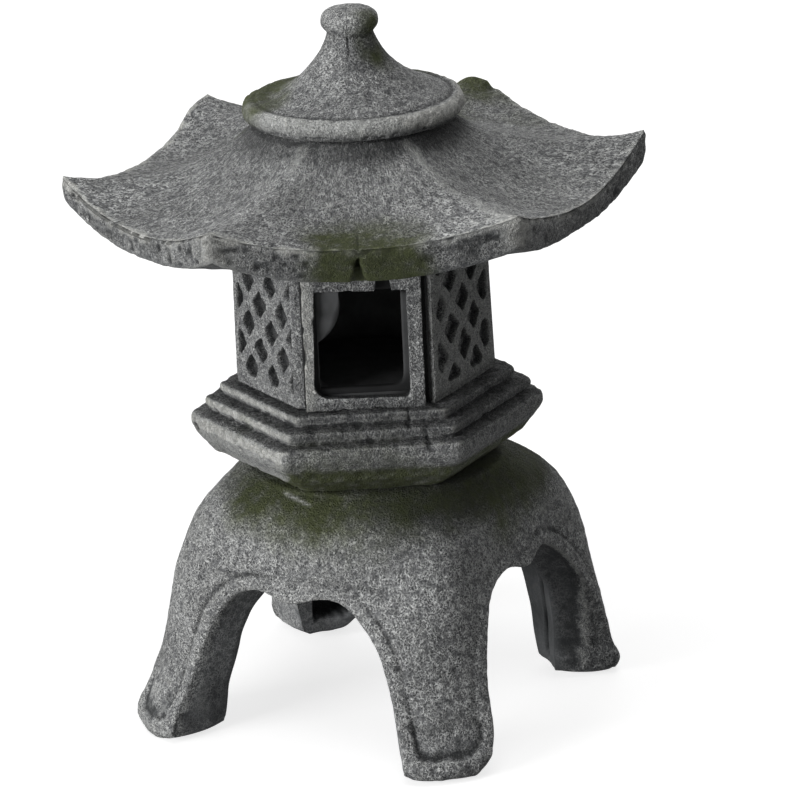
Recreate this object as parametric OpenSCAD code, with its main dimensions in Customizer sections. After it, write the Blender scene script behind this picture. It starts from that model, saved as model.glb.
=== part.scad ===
// Garden stone lantern: five dry-stacked stones, the light box faced with a
// window frame and five lattice panels. Units are millimetres, Z is up, the
// window looks along -Y and the feet stand on Z = 0.

/* [Stacking] */
// clearance all round between a tenon and its socket
fit_gap = 0.4; // [0.3:0.05:0.8]
// length of the tenon under or on each stone
tenon_h = 8; // [6:0.5:10]
// spare depth of a socket past the end of its tenon
tenon_end = 1; // [0.5:0.1:2]

/* [Leg base] */
// height of the leg base
base_h = 118; // [112:1:128]
// radius at the toes, measured along a leg
toe_r = 116; // [112:0.5:122]
// radius of the flat seat on top
seat_r = 59; // [57:0.5:60.5]
// turn of the legs against the window, degrees
leg_turn = 15; // [0:1:45]
// height of the two lobes of an arch
arch_h = 77; // [72:0.5:82]
// half width of an arch at the floor
arch_half = 61; // [58:0.5:64]
// drop of the cusp between the lobes
arch_cusp = 7; // [3:0.5:10]
// radius of the hollow at the floor
hollow_r = 80; // [76:0.5:83]
// thickness of stone over the hollow
crown_t = 24; // [20:0.5:28]
// width of the pocket behind each leg
pocket_w = 18; // [12:0.5:22]
// depth of the pocket behind each leg
pocket_d = 11; // [6:0.5:13]
// height of the pocket floor
pocket_z = 10; // [7:0.5:14]
// radius of the tenon between leg base and platform
base_tenon_r = 35; // [28:0.5:40]

/* [Platform] */
// radius of the rim to its corners
rim_r = 81; // [78:0.5:86]
// height of the rim
rim_h = 13; // [11:0.5:16]
// chamfer along the upper and lower edge of the rim
rim_cut = 1.8; // [1:0.1:3]
// radius of the sloping foot of the platform
foot_r = 59; // [56:0.5:62]
// height of the sloping foot
foot_h = 8; // [6:0.5:10]
// radius of the step under the rim
under_r = 72.5; // [69:0.5:75]
// height of the step under the rim
under_h = 5; // [4:0.5:7]
// depth of the groove above the rim
groove_d = 8; // [5:0.5:10]
// height of the groove above the rim
groove_h = 2; // [1.5:0.5:3]
// radius of the middle tier
mid_r = 76.5; // [74:0.5:78]
// height of the middle tier
mid_h = 5; // [4:0.5:7]
// radius of the top tier
top_r = 66; // [64:0.5:70]
// height of the top tier
top_h = 6; // [4:0.5:8]

/* [Light box] */
// height of the light box
box_h = 65; // [62:0.5:70]
// radius of the core to its corners
core_r = 56.4; // [55.5:0.1:58]
// radius of the room inside
room_r = 39; // [35:0.5:41]
// height of the room where its dome begins
room_spring = 30; // [24:0.5:36]
// thickness of stone over the room
room_roof = 10; // [8:0.5:12]
// radius of the tenons under and on the light box
box_tenon_r = 28; // [24:0.5:32]
// depth of the seats the panels stand in
seat_d = 1.6; // [1.2:0.1:2.5]

/* [Panels] */
// width of the frame and of every lattice panel
panel_w = 54.2; // [51:0.1:54.4]
// gap between the top of a panel and the roof
panel_top = 4.2; // [3.2:0.1:7]
// thickness of the frame and of every lattice panel
panel_t = 4; // [3.2:0.1:5]
// height of a panel above the platform
panel_z = 0.8; // [0.6:0.1:1.2]
// width of the window opening
win_w = 43.4; // [40:0.2:45]
// height of the rail under the opening
sill_h = 4.6; // [4:0.1:6]
// height of the rail over the opening
head_h = 6.4; // [5:0.1:10]
// radius of the lower corners of the opening
win_corner = 6; // [2:0.5:8]
// width of the lattice border at the sides
stile_w = 5; // [3.5:0.5:7]
// height of the lattice border at top and bottom
rail_h = 4.5; // [3.5:0.5:7]
// width of one lattice cell, slat centre to slat centre
cell_w = 20.7; // [16:0.1:24]
// height of one lattice cell, slat centre to slat centre
cell_h = 24; // [20:0.5:28]
// width of a slat
slat_w = 6.2; // [4:0.1:7]

/* [Roof] */
// radius of the roof to its corner tips
roof_r = 132; // [126:0.5:140]
// height of the roof edge above the light box, halfway between two tips
eave_z = 25.5; // [23:0.5:28]
// lift of the tips above the edge
tip_lift = 12.5; // [9:0.5:15]
// thickness of the roof edge
eave_t = 13; // [11:0.5:14]
// height of the roof slope at the collar above the light box
slope_z = 50.5; // [47:0.5:54]
// radius of the roof slope at the collar
slope_r = 46; // [44:0.5:48]
// radius of the collar
collar_r = 40; // [36:0.5:42]
// height of the collar above the slope
collar_h = 6.5; // [5:0.5:8]
// radius of the flat seat under the roof
under_seat_r = 62; // [60:0.5:66]

/* [Finial] */
// radius of the cap rim
cap_r = 50; // [47:0.5:54]
// height of the finial above the collar
cap_h = 51; // [46:0.5:56]
// radius of the knob
knob_r = 12.6; // [11:0.1:14]
// radius of the neck under the knob
neck_r = 10.7; // [9:0.1:10.9]
// radius of the tenon under the cap
cap_tenon_r = 20; // [16:0.5:24]

/* [Hidden] */
$fn = 96;
c30 = cos(30);
plat_z = base_h;
plat_h = foot_h + under_h + rim_h + groove_h + mid_h + top_h;
box_z = plat_z + plat_h;
roof_z = box_z + box_h;
cap_z = roof_z + slope_z + collar_h;
core_a = core_r * c30;
panel_h = box_h - panel_z - panel_top;
win_h = panel_h - sill_h - head_h;
socket_h = tenon_h + tenon_end;

// height and radius of the leg base along a leg, as shares of base_h and toe_r
base_side = [[0, 0.968], [0.012, 0.985], [0.033, 0.997], [0.065, 1], [0.12, 0.962],
             [0.17, 0.938], [0.22, 0.92], [0.28, 0.902], [0.34, 0.886], [0.4, 0.875],
             [0.47, 0.863], [0.54, 0.852], [0.6, 0.841], [0.66, 0.823], [0.72, 0.8],
             [0.78, 0.771], [0.83, 0.738], [0.88, 0.69], [0.92, 0.638], [0.955, 0.583],
             [0.98, 0.54]];
// half width and height of an arch as shares of arch_half and arch_h
arch_side = [[1, 0], [0.955, 0.16], [0.885, 0.33], [0.815, 0.5], [0.755, 0.64],
             [0.71, 0.73], [0.66, 0.8], [0.605, 0.865], [0.545, 0.915], [0.48, 0.955],
             [0.41, 0.985], [0.34, 1], [0.27, 0.998], [0.2, 0.982]];
// height and radius of the hollow as shares of its crown and hollow_r
hollow_side = [[0, 1], [0.25, 0.985], [0.5, 0.955], [0.73, 0.89], [0.86, 0.76], [0.94, 0.56],
               [0.985, 0.28], [1, 0]];

base_turns = 80;
function blend(a, b, t) = a + (b - a) * t;
// squareness of the plan by height: round under the platform, square at the shoulder
function square(t) = lookup(t, [[0, 2.6], [0.34, 3], [0.68, 6], [1, 2.1]]);
function plan(a, n) = 1 / pow(pow(abs(cos(a)), n) + pow(abs(sin(a)), n), 1 / n);
function base_ring(z, r, n) = [for (i = [0:base_turns - 1])
    let (a = i * 360 / base_turns, k = r * plan(a, n) / plan(45, n)) [k * cos(a), k * sin(a), z]];
function skin(rings, count) = concat(
    [for (j = [0:rings - 2], i = [0:count - 1])
        [j * count + i, j * count + (i + 1) % count, (j + 1) * count + (i + 1) % count]],
    [for (j = [0:rings - 2], i = [0:count - 1])
        [j * count + i, (j + 1) * count + (i + 1) % count, (j + 1) * count + i]]);

// closed body through a list of level rings, bottom ring first
module lofted(rings) {
    n = len(rings[0]);
    m = len(rings);
    polyhedron(points = [for (r = rings, p = r) p],
               faces = [for (f = concat([[for (i = [n - 1:-1:0]) i]], skin(m, n),
                        [[for (i = [0:n - 1]) (m - 1) * n + i]]))
                        [for (k = [len(f) - 1:-1:0]) f[k]]]);
}

module base_body() {
    rings = concat([for (p = base_side) base_ring(p[0] * base_h, p[1] * toe_r, square(p[0]))],
                   [base_ring(base_h, seat_r, 2)]);
    lofted(rings);
}

// one cusped arch through the wall, narrowing towards the middle
module arch_cut() {
    far = toe_r;
    half = concat([[arch_half, -1]],
                  [for (p = arch_side) [p[0] * arch_half, p[1] * arch_h]],
                  [[0.09 * arch_half, arch_h - 0.55 * arch_cusp]]);
    edge = concat(half, [[0, arch_h - arch_cusp]],
                  [for (i = [len(half) - 1:-1:0]) [-half[i][0], half[i][1]]]);
    k = far / (0.73 * toe_r);
    rings = [for (d = [30, far]) [for (p = edge) [d, p[0] * k * d / far, p[1]]]];
    lofted(rings);
}

module hollow_cut() {
    crown = base_h - crown_t;
    rotate_extrude() polygon(concat([[0, -1], [hollow_r, -1]],
        [for (p = hollow_side) [p[1] * hollow_r, p[0] * crown]]));
}

module leg_base() color("#6a6a66") rotate(leg_turn + 45) difference() {
    base_body();
    for (a = [0:90:270]) rotate(a) arch_cut();
    hollow_cut();
    for (a = [45:90:315]) rotate(a)
        translate([hollow_r * 0.6, -pocket_w / 2, pocket_z])
            cube([hollow_r * 0.4 + pocket_d, pocket_w, base_h * 0.4]);
    translate([0, 0, base_h - socket_h]) cylinder(r = base_tenon_r + fit_gap, h = socket_h + 1);
}

module hexagon(r, h, r2 = 0) cylinder($fn = 6, r1 = r, r2 = r2 > 0 ? r2 : r, h = h);

module platform() color("#727270") translate([0, 0, plat_z]) difference() {
    z1 = foot_h;
    z2 = z1 + under_h;
    z3 = z2 + rim_h;
    z4 = z3 + groove_h;
    z5 = z4 + mid_h;
    union() {
        hexagon(foot_r, foot_h, under_r - 1);
        translate([0, 0, z1]) hexagon(under_r, under_h);
        translate([0, 0, z2]) hexagon(rim_r - rim_cut, rim_cut, rim_r);
        translate([0, 0, z2 + rim_cut]) hexagon(rim_r, rim_h - 2 * rim_cut);
        translate([0, 0, z3 - rim_cut]) hexagon(rim_r, rim_cut, rim_r - rim_cut);
        translate([0, 0, z3]) hexagon(rim_r - groove_d, groove_h);
        translate([0, 0, z4]) hexagon(mid_r, mid_h);
        translate([0, 0, z5]) hexagon(top_r + 1, top_h, top_r - 1);
        translate([0, 0, -tenon_h]) cylinder(r = base_tenon_r, h = tenon_h + 1);
    }
    translate([0, 0, plat_h - socket_h]) cylinder(r = box_tenon_r + fit_gap, h = socket_h + 1);
}

// window opening as a flat shape, sill on the X axis
module opening(w, h, r) union() {
    translate([-w / 2, r]) square([w, h - r]);
    translate([-w / 2 + r, 0]) square([w - 2 * r, r + 0.1]);
    for (s = [-1, 1]) translate([s * (w / 2 - r), r]) circle(r = r);
}

// stand a flat shape upright on the side of the box that faces turn a, its back
// at distance d from the axis and its thickness outwards
module upright(a, d, t) rotate(a) translate([0, -d, 0]) rotate([90, 0, 0]) linear_extrude(t) children();

module light_box() color("#55585a") translate([0, 0, box_z]) difference() {
    floor_z = panel_z + sill_h;
    dome_h = box_h - room_roof - room_spring;
    union() {
        hexagon(core_r, box_h);
        translate([0, 0, -tenon_h]) cylinder(r = box_tenon_r, h = tenon_h + 1);
        translate([0, 0, box_h - 1]) cylinder(r = box_tenon_r, h = tenon_h + 1);
    }
    translate([0, 0, floor_z]) cylinder(r = room_r, h = room_spring - floor_z);
    translate([0, 0, room_spring]) rotate_extrude()
        intersection() {
            scale([room_r, dome_h]) circle(r = 1);
            square([room_r, dome_h + 1]);
        }
    upright(0, room_r / 2, core_r) translate([0, floor_z]) opening(win_w, win_h, win_corner);
    for (a = [0:60:300]) upright(a, core_a - seat_d, seat_d + 2)
        translate([-panel_w / 2 - fit_gap, -1]) square([panel_w + 2 * fit_gap, panel_z + panel_h + fit_gap + 1]);
}

module window_frame() color("#8b8b88") translate([0, 0, box_z + panel_z])
    upright(0, core_a - seat_d, panel_t) difference() {
        translate([-panel_w / 2, 0]) square([panel_w, panel_h]);
        translate([0, sill_h]) opening(win_w, win_h, win_corner);
    }

module cells() {
    k = slat_w / 2 * norm([cell_w, cell_h]) / (cell_w * cell_h) * 2;
    intersection() {
        translate([-panel_w / 2 + stile_w, rail_h]) square([panel_w - 2 * stile_w, panel_h - 2 * rail_h]);
        for (i = [-3:3], j = [-3:3]) let (o = (abs(j + 1) % 2) / 2)
            translate([(i + o) * cell_w, panel_h / 2 + j * cell_h / 2])
                polygon([[cell_w / 2 * (1 - k), 0], [0, cell_h / 2 * (1 - k)],
                         [-cell_w / 2 * (1 - k), 0], [0, -cell_h / 2 * (1 - k)]]);
    }
}

module lattice(a) color("#808280") translate([0, 0, box_z + panel_z])
    upright(a, core_a - seat_d, panel_t) difference() {
        translate([-panel_w / 2, 0]) square([panel_w, panel_h]);
        cells();
    }

module lattice_front_left() lattice(-60);
module lattice_front_right() lattice(60);
module lattice_back_left() lattice(-120);
module lattice_back_right() lattice(120);
module lattice_back() lattice(180);

roof_turns = 72;
// distance of a turn from the middle of its side, -1 to 1 from tip to tip
function along(a) = tan(((a + 600) % 60) - 30) / tan(30);
function eave(a) = eave_z + tip_lift * pow(abs(along(a)), 2.2);
// level ring of the roof: t runs from the collar (0) to the edge (1)
function roof_top(t) = [for (i = [0:roof_turns - 1])
    let (a = i * 360 / roof_turns, w = abs(along(a)), q = blend(2, 3, w),
         edge = roof_r * c30 / cos(((a + 600) % 60) - 30),
         r = blend(slope_r, edge, t), g = 1 - pow(1 - t, q))
    [r * cos(a), r * sin(a), blend(slope_z, eave(a), g)]];
function roof_under(t) = [for (i = [0:roof_turns - 1])
    let (a = i * 360 / roof_turns, edge = (roof_r - 2) * c30 / cos(((a + 600) % 60) - 30),
         r = blend(under_seat_r, edge, t))
    [r * cos(a), r * sin(a), blend(0, eave(a) - eave_t, t)]];

module roof() color("#6f706d") translate([0, 0, roof_z]) difference() {
    union() {
        lofted(concat([for (t = [0, 0.2, 0.4, 0.6, 0.8, 1]) roof_under(t)],
                      [for (t = [1, 0.9, 0.8, 0.7, 0.6, 0.5, 0.4, 0.3, 0.2, 0.1, 0]) roof_top(t)]));
        translate([0, 0, slope_z - 2]) cylinder(r = collar_r, h = collar_h + 2);
    }
    translate([0, 0, -1]) cylinder(r = box_tenon_r + fit_gap, h = socket_h + 1);
    translate([0, 0, slope_z + collar_h - socket_h]) cylinder(r = cap_tenon_r + fit_gap, h = socket_h + 1);
}

// radius and height of the finial as shares of cap_r and cap_h, rim to neck
cap_side = [[0.94, 0], [0.975, 0.03], [0.995, 0.075], [1, 0.12], [0.985, 0.165], [0.95, 0.195],
            [0.925, 0.2], [0.86, 0.225], [0.745, 0.265], [0.6, 0.33], [0.485, 0.395], [0.395, 0.465],
            [0.328, 0.54], [0.275, 0.62], [0.242, 0.68]];
// radius and height of the knob as shares of knob_r and cap_h
knob_side = [[0.87, 0.76], [0.95, 0.8], [1, 0.85], [0.985, 0.89], [0.92, 0.93], [0.75, 0.965],
             [0.45, 0.99], [0, 1]];

module finial_cap() color("#7b7b76") translate([0, 0, cap_z]) union() {
    rotate_extrude() polygon(concat([[0, 0]],
        [for (p = cap_side) [p[0] * cap_r, p[1] * cap_h]],
        [[neck_r, 0.725 * cap_h]],
        [for (p = knob_side) [p[0] * knob_r, p[1] * cap_h]]));
    translate([0, 0, -tenon_h]) cylinder(r = cap_tenon_r, h = tenon_h + 1);
}

leg_base();
platform();
light_box();
window_frame();
lattice_front_left();
lattice_front_right();
lattice_back_left();
lattice_back_right();
lattice_back();
roof();
finial_cap();
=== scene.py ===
"""Looks of a small cast-stone garden lantern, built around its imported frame.

Sizes are in millimetres until a mesh is made. Turns are in radians round the
vertical axis: 0 looks along -Y, the way the window faces, and a right angle is +X.
Every pattern of grain is given the size of its lumps and a seed.
"""
import math

import bpy
import numpy as np
from mathutils import Matrix, Vector


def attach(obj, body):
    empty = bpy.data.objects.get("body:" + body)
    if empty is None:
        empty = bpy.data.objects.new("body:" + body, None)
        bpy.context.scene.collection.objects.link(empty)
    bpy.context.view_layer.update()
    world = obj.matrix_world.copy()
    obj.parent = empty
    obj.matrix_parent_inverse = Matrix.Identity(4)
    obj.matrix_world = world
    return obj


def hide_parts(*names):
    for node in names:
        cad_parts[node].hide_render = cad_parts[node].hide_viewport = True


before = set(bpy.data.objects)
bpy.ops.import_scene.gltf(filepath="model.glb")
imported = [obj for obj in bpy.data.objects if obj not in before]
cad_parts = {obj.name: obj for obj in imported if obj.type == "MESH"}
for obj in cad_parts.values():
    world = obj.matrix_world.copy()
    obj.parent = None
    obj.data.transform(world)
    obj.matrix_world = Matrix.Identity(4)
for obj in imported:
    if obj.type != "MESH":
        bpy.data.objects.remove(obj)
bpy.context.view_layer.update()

C30 = math.cos(math.radians(30))
TURN = 2 * math.pi
MM = 0.001

# heights of the seats between the stones, and the fits that the frame has
BASE_H = 118.0
BOX_Z = 157.0
BOX_H = 65.0
ROOF_Z = BOX_Z + BOX_H
CAP_Z = 279.0
SOCKET = 9.0
TENON = 8.0
DECK_TENON_R = 35.0
BOX_TENON_R = 28.0
CAP_TENON_R = 20.0
FIT = 0.4

# what a piece's points tell the material: wear with painted highlights, dirt with painted shade, moss
# stain and smooth mould
MARKS = ("worn_and_highlit", "dirt_and_shade", "moss", "inner")
# how often edges are softened, and how close points are welded
ROUNDS = 40
WELD = 0.004
# distance given to points that have no arch or rim near them
FAR = 40.0


def blend(a, b, t):
    """a at t = 0 and b at t = 1, straight between."""
    return a + (b - a) * t


def rise(low, high, x):
    """0 below low, 1 above high, and 3t^2 - 2t^3 between. With low above high it falls instead."""
    t = np.clip((x - low) / (high - low), 0, 1)
    return t * t * (3 - 2 * t)


def bell(x, middle, width):
    """Bell curve of height 1: exp(-((x - middle) / width)^2)."""
    return np.exp(-(((x - middle) / width) ** 2))


def lattice_value(cell, seed):
    """Repeatable value from 0 to 1 for whole-number cells (n x 3): indices mixed as 32-bit integers."""
    i = cell.astype(np.int64).astype(np.uint32)
    h = i[:, 0] * np.uint32(374761393) + i[:, 1] * np.uint32(668265263)
    h = h + i[:, 2] * np.uint32(2246822519) + np.uint32(seed * 97711 + 17)
    h = (h ^ (h >> np.uint32(13))) * np.uint32(1274126177)
    h = (h ^ (h >> np.uint32(15))) * np.uint32(2654435761)
    return (h ^ (h >> np.uint32(16))) / 4294967295.0


def grain(points, size, seed):
    """Lumps `size` mm apart, -1 to 1: values at the corners of cubes, blended by 6t^5 - 15t^4 + 10t^3."""
    q = points / size
    cell = np.floor(q)
    f = q - cell
    w = f * f * f * (f * (f * 6 - 15) + 10)
    total = np.zeros(len(q))
    for corner in np.ndindex(2, 2, 2):
        c = np.array(corner)
        share = np.prod(np.where(c == 1, w, 1 - w), axis=1)
        total = total + share * lattice_value(cell + c, seed)
    return total * 2 - 1


def layers(points, size, count, seed):
    """Sum of grains, each half as large and half as high as the one before, scaled to about -1 to 1."""
    total = np.zeros(len(points))
    for k in range(count):
        total = total + grain(points, size / 2 ** k, seed + 31 * k) / 2 ** k
    return total / (2 - 2.0 ** (1 - count))


def patches(points, size, seed):
    """Soft patches, 0 to 1: two layers of grain."""
    return 0.5 + 0.5 * layers(points, size, 2, seed)


def hollows(points, size, seed, level):
    """Scattered hollows, 0 to 1: how far a grain rises past a level."""
    return np.clip(grain(points, size, seed) - level, 0, 1)


def spots(points, places):
    """Sum of soft round patches: strength * exp(-(distance / radius)^2) for (x, y, z, radius,
    strength)."""
    total = np.zeros(len(points))
    for x, y, z, radius, strength in places:
        d = np.linalg.norm(points - np.array([x, y, z]), axis=1)
        total = total + strength * np.exp(-((d / radius) ** 2))
    return total


def lengths(path):
    """Length along a path up to each of its points."""
    return np.concatenate([[0], np.cumsum(np.linalg.norm(np.diff(path, axis=0), axis=1))])


def even_path(corners, gap, soften):
    """Points about `gap` apart along the straight lines through `corners`, each averaged over `soften` mm
    to both sides, with the ends kept."""
    c = np.array(corners, float)
    s = lengths(c)
    count = max(int(round(s[-1] / gap)), 2) + 1
    u = np.linspace(0, s[-1], count)
    p = np.stack([np.interp(u, s, c[:, k]) for k in range(c.shape[1])], 1)
    n = int(round(soften / gap))
    if n < 1:
        return p
    padded = np.concatenate([2 * p[:1] - p[n:0:-1], p, 2 * p[-1:] - p[-2:-n - 2:-1]])
    total = np.cumsum(np.concatenate([np.zeros((1, p.shape[1])), padded]), axis=0)
    return (total[2 * n + 1:] - total[:-2 * n - 1]) / (2 * n + 1)


def corner_path(corners, gap):
    """Points at the corners and about `gap` apart between them."""
    c = np.array(corners, float)
    runs = []
    for a, b in zip(c[:-1], c[1:]):
        count = max(int(round(np.linalg.norm(b - a) / gap)), 1)
        runs.append(np.linspace(a, b, count, endpoint=False))
    return np.concatenate(runs + [c[-1:]])


def table(pairs, x):
    """Value read off a list of (x, value) pairs, straight between them."""
    a = np.array(pairs)
    return np.interp(x, a[:, 0], a[:, 1])


def polar(turn, reach, height):
    """Points at a turn round the axis, a reach from it and a height."""
    turn, reach, height = np.broadcast_arrays(turn, reach, height)
    return np.stack([reach * np.sin(turn), -reach * np.cos(turn), height], -1)


def reach_of(p):
    """Reach of points from the axis."""
    return np.hypot(p[..., 0], p[..., 1])


def turn_of(p):
    """Turn of points round the axis."""
    return np.arctan2(p[..., 0], -p[..., 1])


def hexagon(turn, sharp):
    """Reach of a hexagon with flat sides at turn 0 and every sixth, 1 at the middle of a side:
    1 / (sum of max(cos(turn - side), 0)^sharp)^(1 / sharp), so a higher sharp gives keener corners."""
    sides = np.arange(6) * TURN / 6
    c = np.maximum(np.cos(turn[..., None] - sides), 0)
    return np.sum(c ** sharp, axis=-1) ** (-1 / sharp)


def from_mid_side(turn):
    """Turn from the middle of the hexagon's nearest side."""
    return (turn + TURN / 12) % (TURN / 6) - TURN / 12


def steepness(normals, keen):
    """1 where the surface stands upright, falling to 0 where the normal's height reaches 1 / keen."""
    return 1 - np.clip(np.abs(normals[:, 2]) * keen, 0, 1)


def facing(p, n):
    """How squarely a normal looks away from the axis, level: 1 straight out, below 0 inwards."""
    return (n[:, 0] * p[:, 0] + n[:, 1] * p[:, 1]) / reach_of(p)


def tagged(grid, *channels):
    """Grid of points with further channels: each is one value for all points, or one for each."""
    tags = [np.broadcast_to(c, grid.shape[:2]) for c in channels]
    return np.concatenate([grid, np.stack(tags, -1)], -1)


def weld(grids):
    """One shell from grids of points (rows x columns x channels): equal points become one vertex, and
    squares that close at a pole become triangles. Points are equal where their steps of WELD are, counted
    from 0.37 of a step so that round sizes do not lie between two."""
    squares = []
    start = 0
    for g in grids:
        index = np.arange(g.shape[0] * g.shape[1]).reshape(g.shape[:2]) + start
        start += index.size
        around = [index[:-1, :-1], index[:-1, 1:], index[1:, 1:], index[1:, :-1]]
        squares.append(np.stack(around, -1).reshape(-1, 4))
    flat = np.concatenate([g.reshape(-1, g.shape[2]) for g in grids])
    key = np.floor(flat[:, :3] / WELD + 0.37).astype(np.int64)
    _, first, where = np.unique(key, axis=0, return_index=True, return_inverse=True)
    q = where.reshape(-1)[np.concatenate(squares)]
    same = q == np.roll(q, -1, axis=1)
    quads = q[same.sum(1) == 0]
    closed = q[same.sum(1) == 1]
    at = np.argmax(same[same.sum(1) == 1], axis=1)
    keep = (at[:, None] + np.array([1, 2, 3])) % 4
    triangles = np.take_along_axis(closed, keep, axis=1)
    good = (triangles[:, 0] != triangles[:, 1]) & (triangles[:, 1] != triangles[:, 2])
    return flat[first], quads, triangles[good & (triangles[:, 0] != triangles[:, 2])]


def outward(points, quads, triangles):
    """Unit normal of every vertex: the sum of its faces' area vectors."""
    a, b, c, d = (points[quads[:, k]] for k in range(4))
    area4 = np.cross(c - a, d - b)
    e, f, g = (points[triangles[:, k]] for k in range(3))
    area3 = np.cross(f - e, g - e)
    index = np.concatenate([quads.ravel(), triangles.ravel()])
    area = np.concatenate([np.repeat(area4, 4, axis=0), np.repeat(area3, 3, axis=0)])
    n = np.stack([np.bincount(index, area[:, k], len(points)) for k in range(3)], 1)
    return n / np.maximum(np.linalg.norm(n, axis=1), 1e-12)[:, None]


def neighbour_mean(values, quads, count):
    """Mean of a vertex's neighbours along the sides of its squares."""
    a = np.concatenate([quads.ravel(), np.roll(quads, -1, axis=1).ravel()])
    b = np.concatenate([np.roll(quads, -1, axis=1).ravel(), quads.ravel()])
    n = np.maximum(np.bincount(a, minlength=count), 1)
    return np.stack([np.bincount(a, values[b, k], count) / n for k in range(values.shape[1])], 1)


def bulge(points, normals, quads, spread):
    """How far a vertex stands out of its surroundings, in mm: (vertex - mean of neighbours) . normal,
    with the mean taken `spread` times over."""
    mean = points
    for _ in range(spread):
        mean = neighbour_mean(mean, quads, len(points))
    return np.sum((points - mean) * normals, axis=1)


def add_piece(name, node, body, grids, relief, marks, material, weave=None, rounding=None):
    """Stone from grids: the shell is moved along its normals by relief(points, normals, channels) mm, and
    marks(points, normals, channels, near, wide) gives the MARKS that are not 0 all over, from the bulge
    against near and wider surroundings. weave(points, normals) gives the places at which the material
    reads its grain, where they are not the points themselves. Where rounding(points, channels) is above
    0, edges are first rounded: ROUNDS times, a vertex moves by half of that share towards the mean of its
    neighbours."""
    data, quads, triangles = weld(grids)
    points = data[:, :3]
    channels = data[:, 3:]
    if rounding:
        share = rounding(points, channels)[:, None]
        for _ in range(ROUNDS):
            points = blend(points, neighbour_mean(points, quads, len(points)), 0.5 * share)
    normals = outward(points, quads, triangles)
    points = points + normals * relief(points, normals, channels)[:, None]
    normals = outward(points, quads, triangles)
    near = bulge(points, normals, quads, 2)
    wide = bulge(points, normals, quads, 7)
    mesh = bpy.data.meshes.new(name)
    mesh.from_pydata((points * MM).tolist(), [], quads.tolist() + triangles.tolist())
    mesh.polygons.foreach_set("use_smooth", np.ones(len(mesh.polygons), bool))
    given = marks(points, normals, channels, near, wide)
    for mark in MARKS:
        values = np.clip(given.get(mark, np.zeros(len(points))), 0, 1)
        layer = mesh.attributes.new(mark, "FLOAT", "POINT")
        layer.data.foreach_set("value", values.astype(np.float32))
    places = weave(points, normals) if weave else points
    layer = mesh.attributes.new("weave", "FLOAT_VECTOR", "POINT")
    layer.data.foreach_set("vector", places.astype(np.float32).ravel())
    mesh.materials.append(material)
    mesh.update()
    piece = bpy.data.objects.new(name, mesh)
    bpy.context.scene.collection.objects.link(piece)
    if node:
        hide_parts(node)
    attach(piece, body)


def weathered(points, seed):
    """Hand-made unevenness in mm: broad waves, lumps and coarse grain."""
    wave = 0.40 * layers(points, 26, 2, seed)
    lump = 0.20 * grain(points, 6.5, seed + 5)
    coarse = 0.17 * grain(points, 2.9, seed + 9)
    return wave + lump + coarse


def worn_marks(points, near, wide, seed):
    """Wear on what stands out, broken up by grain, and grime with painted shade in what lies back."""
    speckle = 0.5 + 0.5 * grain(points, 3.2, seed + 40)
    worn_and_highlit = np.clip(near * 2.6 + wide * 0.9 - 0.10, 0, 1) * (0.55 + 0.6 * speckle)
    # grime and painted shade in hollows
    dirt_and_shade = np.clip(-near * 2.2 - wide * 1.1 - 0.06, 0, 1)
    return worn_and_highlit, dirt_and_shade


def fine_weave(p, n):
    """Grain a little finer than elsewhere."""
    return p * 1.15


def coarse_weave(p, n):
    """Grain a little coarser than elsewhere."""
    return p * 0.95


# finial cap: reach and height along its side, from the tenon over the bead to the top of the knob

CAP_FOOT = [(0, CAP_Z - TENON), (CAP_TENON_R, CAP_Z - TENON), (CAP_TENON_R, CAP_Z), (46, CAP_Z)]
CAP_BEAD = [(46, CAP_Z), (48.2, 279.9), (49.8, 281.8), (50.4, 284.2), (50.1, 286.4), (49, 288.2),
            (47.4, 289.2), (46, 289.2), (45, 288.6), (44.2, 288.6)]
CAP_BELL = [(43, 289.7), (39.2, 291.2), (33.4, 293.4), (29.4, 295.9), (26, 297.8), (23.4, 299.8),
            (20.6, 302), (18.4, 304.2), (16.5, 306.4), (14.9, 308.6), (13.7, 310.6), (12.6, 312.8),
            (11.5, 315)]
CAP_KNOB = [(10.6, 317.2), (10.5, 318.4), (11.8, 319.6), (12.9, 321.2), (13.2, 323.2), (12.9, 325.2),
            (11.9, 326.9), (9.6, 328.4), (6, 329.3), (0, 329.6)]
CAP_SHIFT = 0.6
CAP_COLUMNS = 433
CAP_MOSS = [(11, -7, 324, 7, 0.75), (10, -8, 313, 8, 0.65), (13, -9, 305, 8, 0.45),
            (-42, -10, 290, 13, 1.0), (-46, 6, 287, 12, 0.9), (-30, 30, 292, 18, 0.9),
            (30, 36, 290, 16, 0.7), (2, -49, 284, 8, 0.2), (2, -13, 323, 9, 0.2),
            (-38, 18, 292, 14, 0.8)]


def cap_grids():
    """The cap's side carried round the axis. Above its seat the cap stands CAP_SHIFT off to the right,
    its left shoulder has sunk by 2.4 mm, and its bead by 1.5 mm at the back left."""
    side = even_path(CAP_BEAD + CAP_BELL + CAP_KNOB, 0.6, 0.6)
    side = np.concatenate([corner_path(CAP_FOOT, 4)[:-1], side])
    side[-1, 0] = 0
    reach, height = side[:, :1], side[:, 1:]
    turn = np.linspace(-math.pi, math.pi, CAP_COLUMNS)
    p = polar(turn, reach, height)
    x, z = p[..., 0], p[..., 2]
    x += CAP_SHIFT * rise(CAP_Z - 0.5, CAP_Z + 0.5, z)
    z -= 2.4 * rise(3, 30, -x) * rise(289, 292, z) * rise(308, 298, z)
    low = bell(turn, math.radians(-135), math.radians(42)) * rise(45, 47, reach)
    z -= 1.5 * low * rise(282, 287, z)
    return [p]


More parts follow.
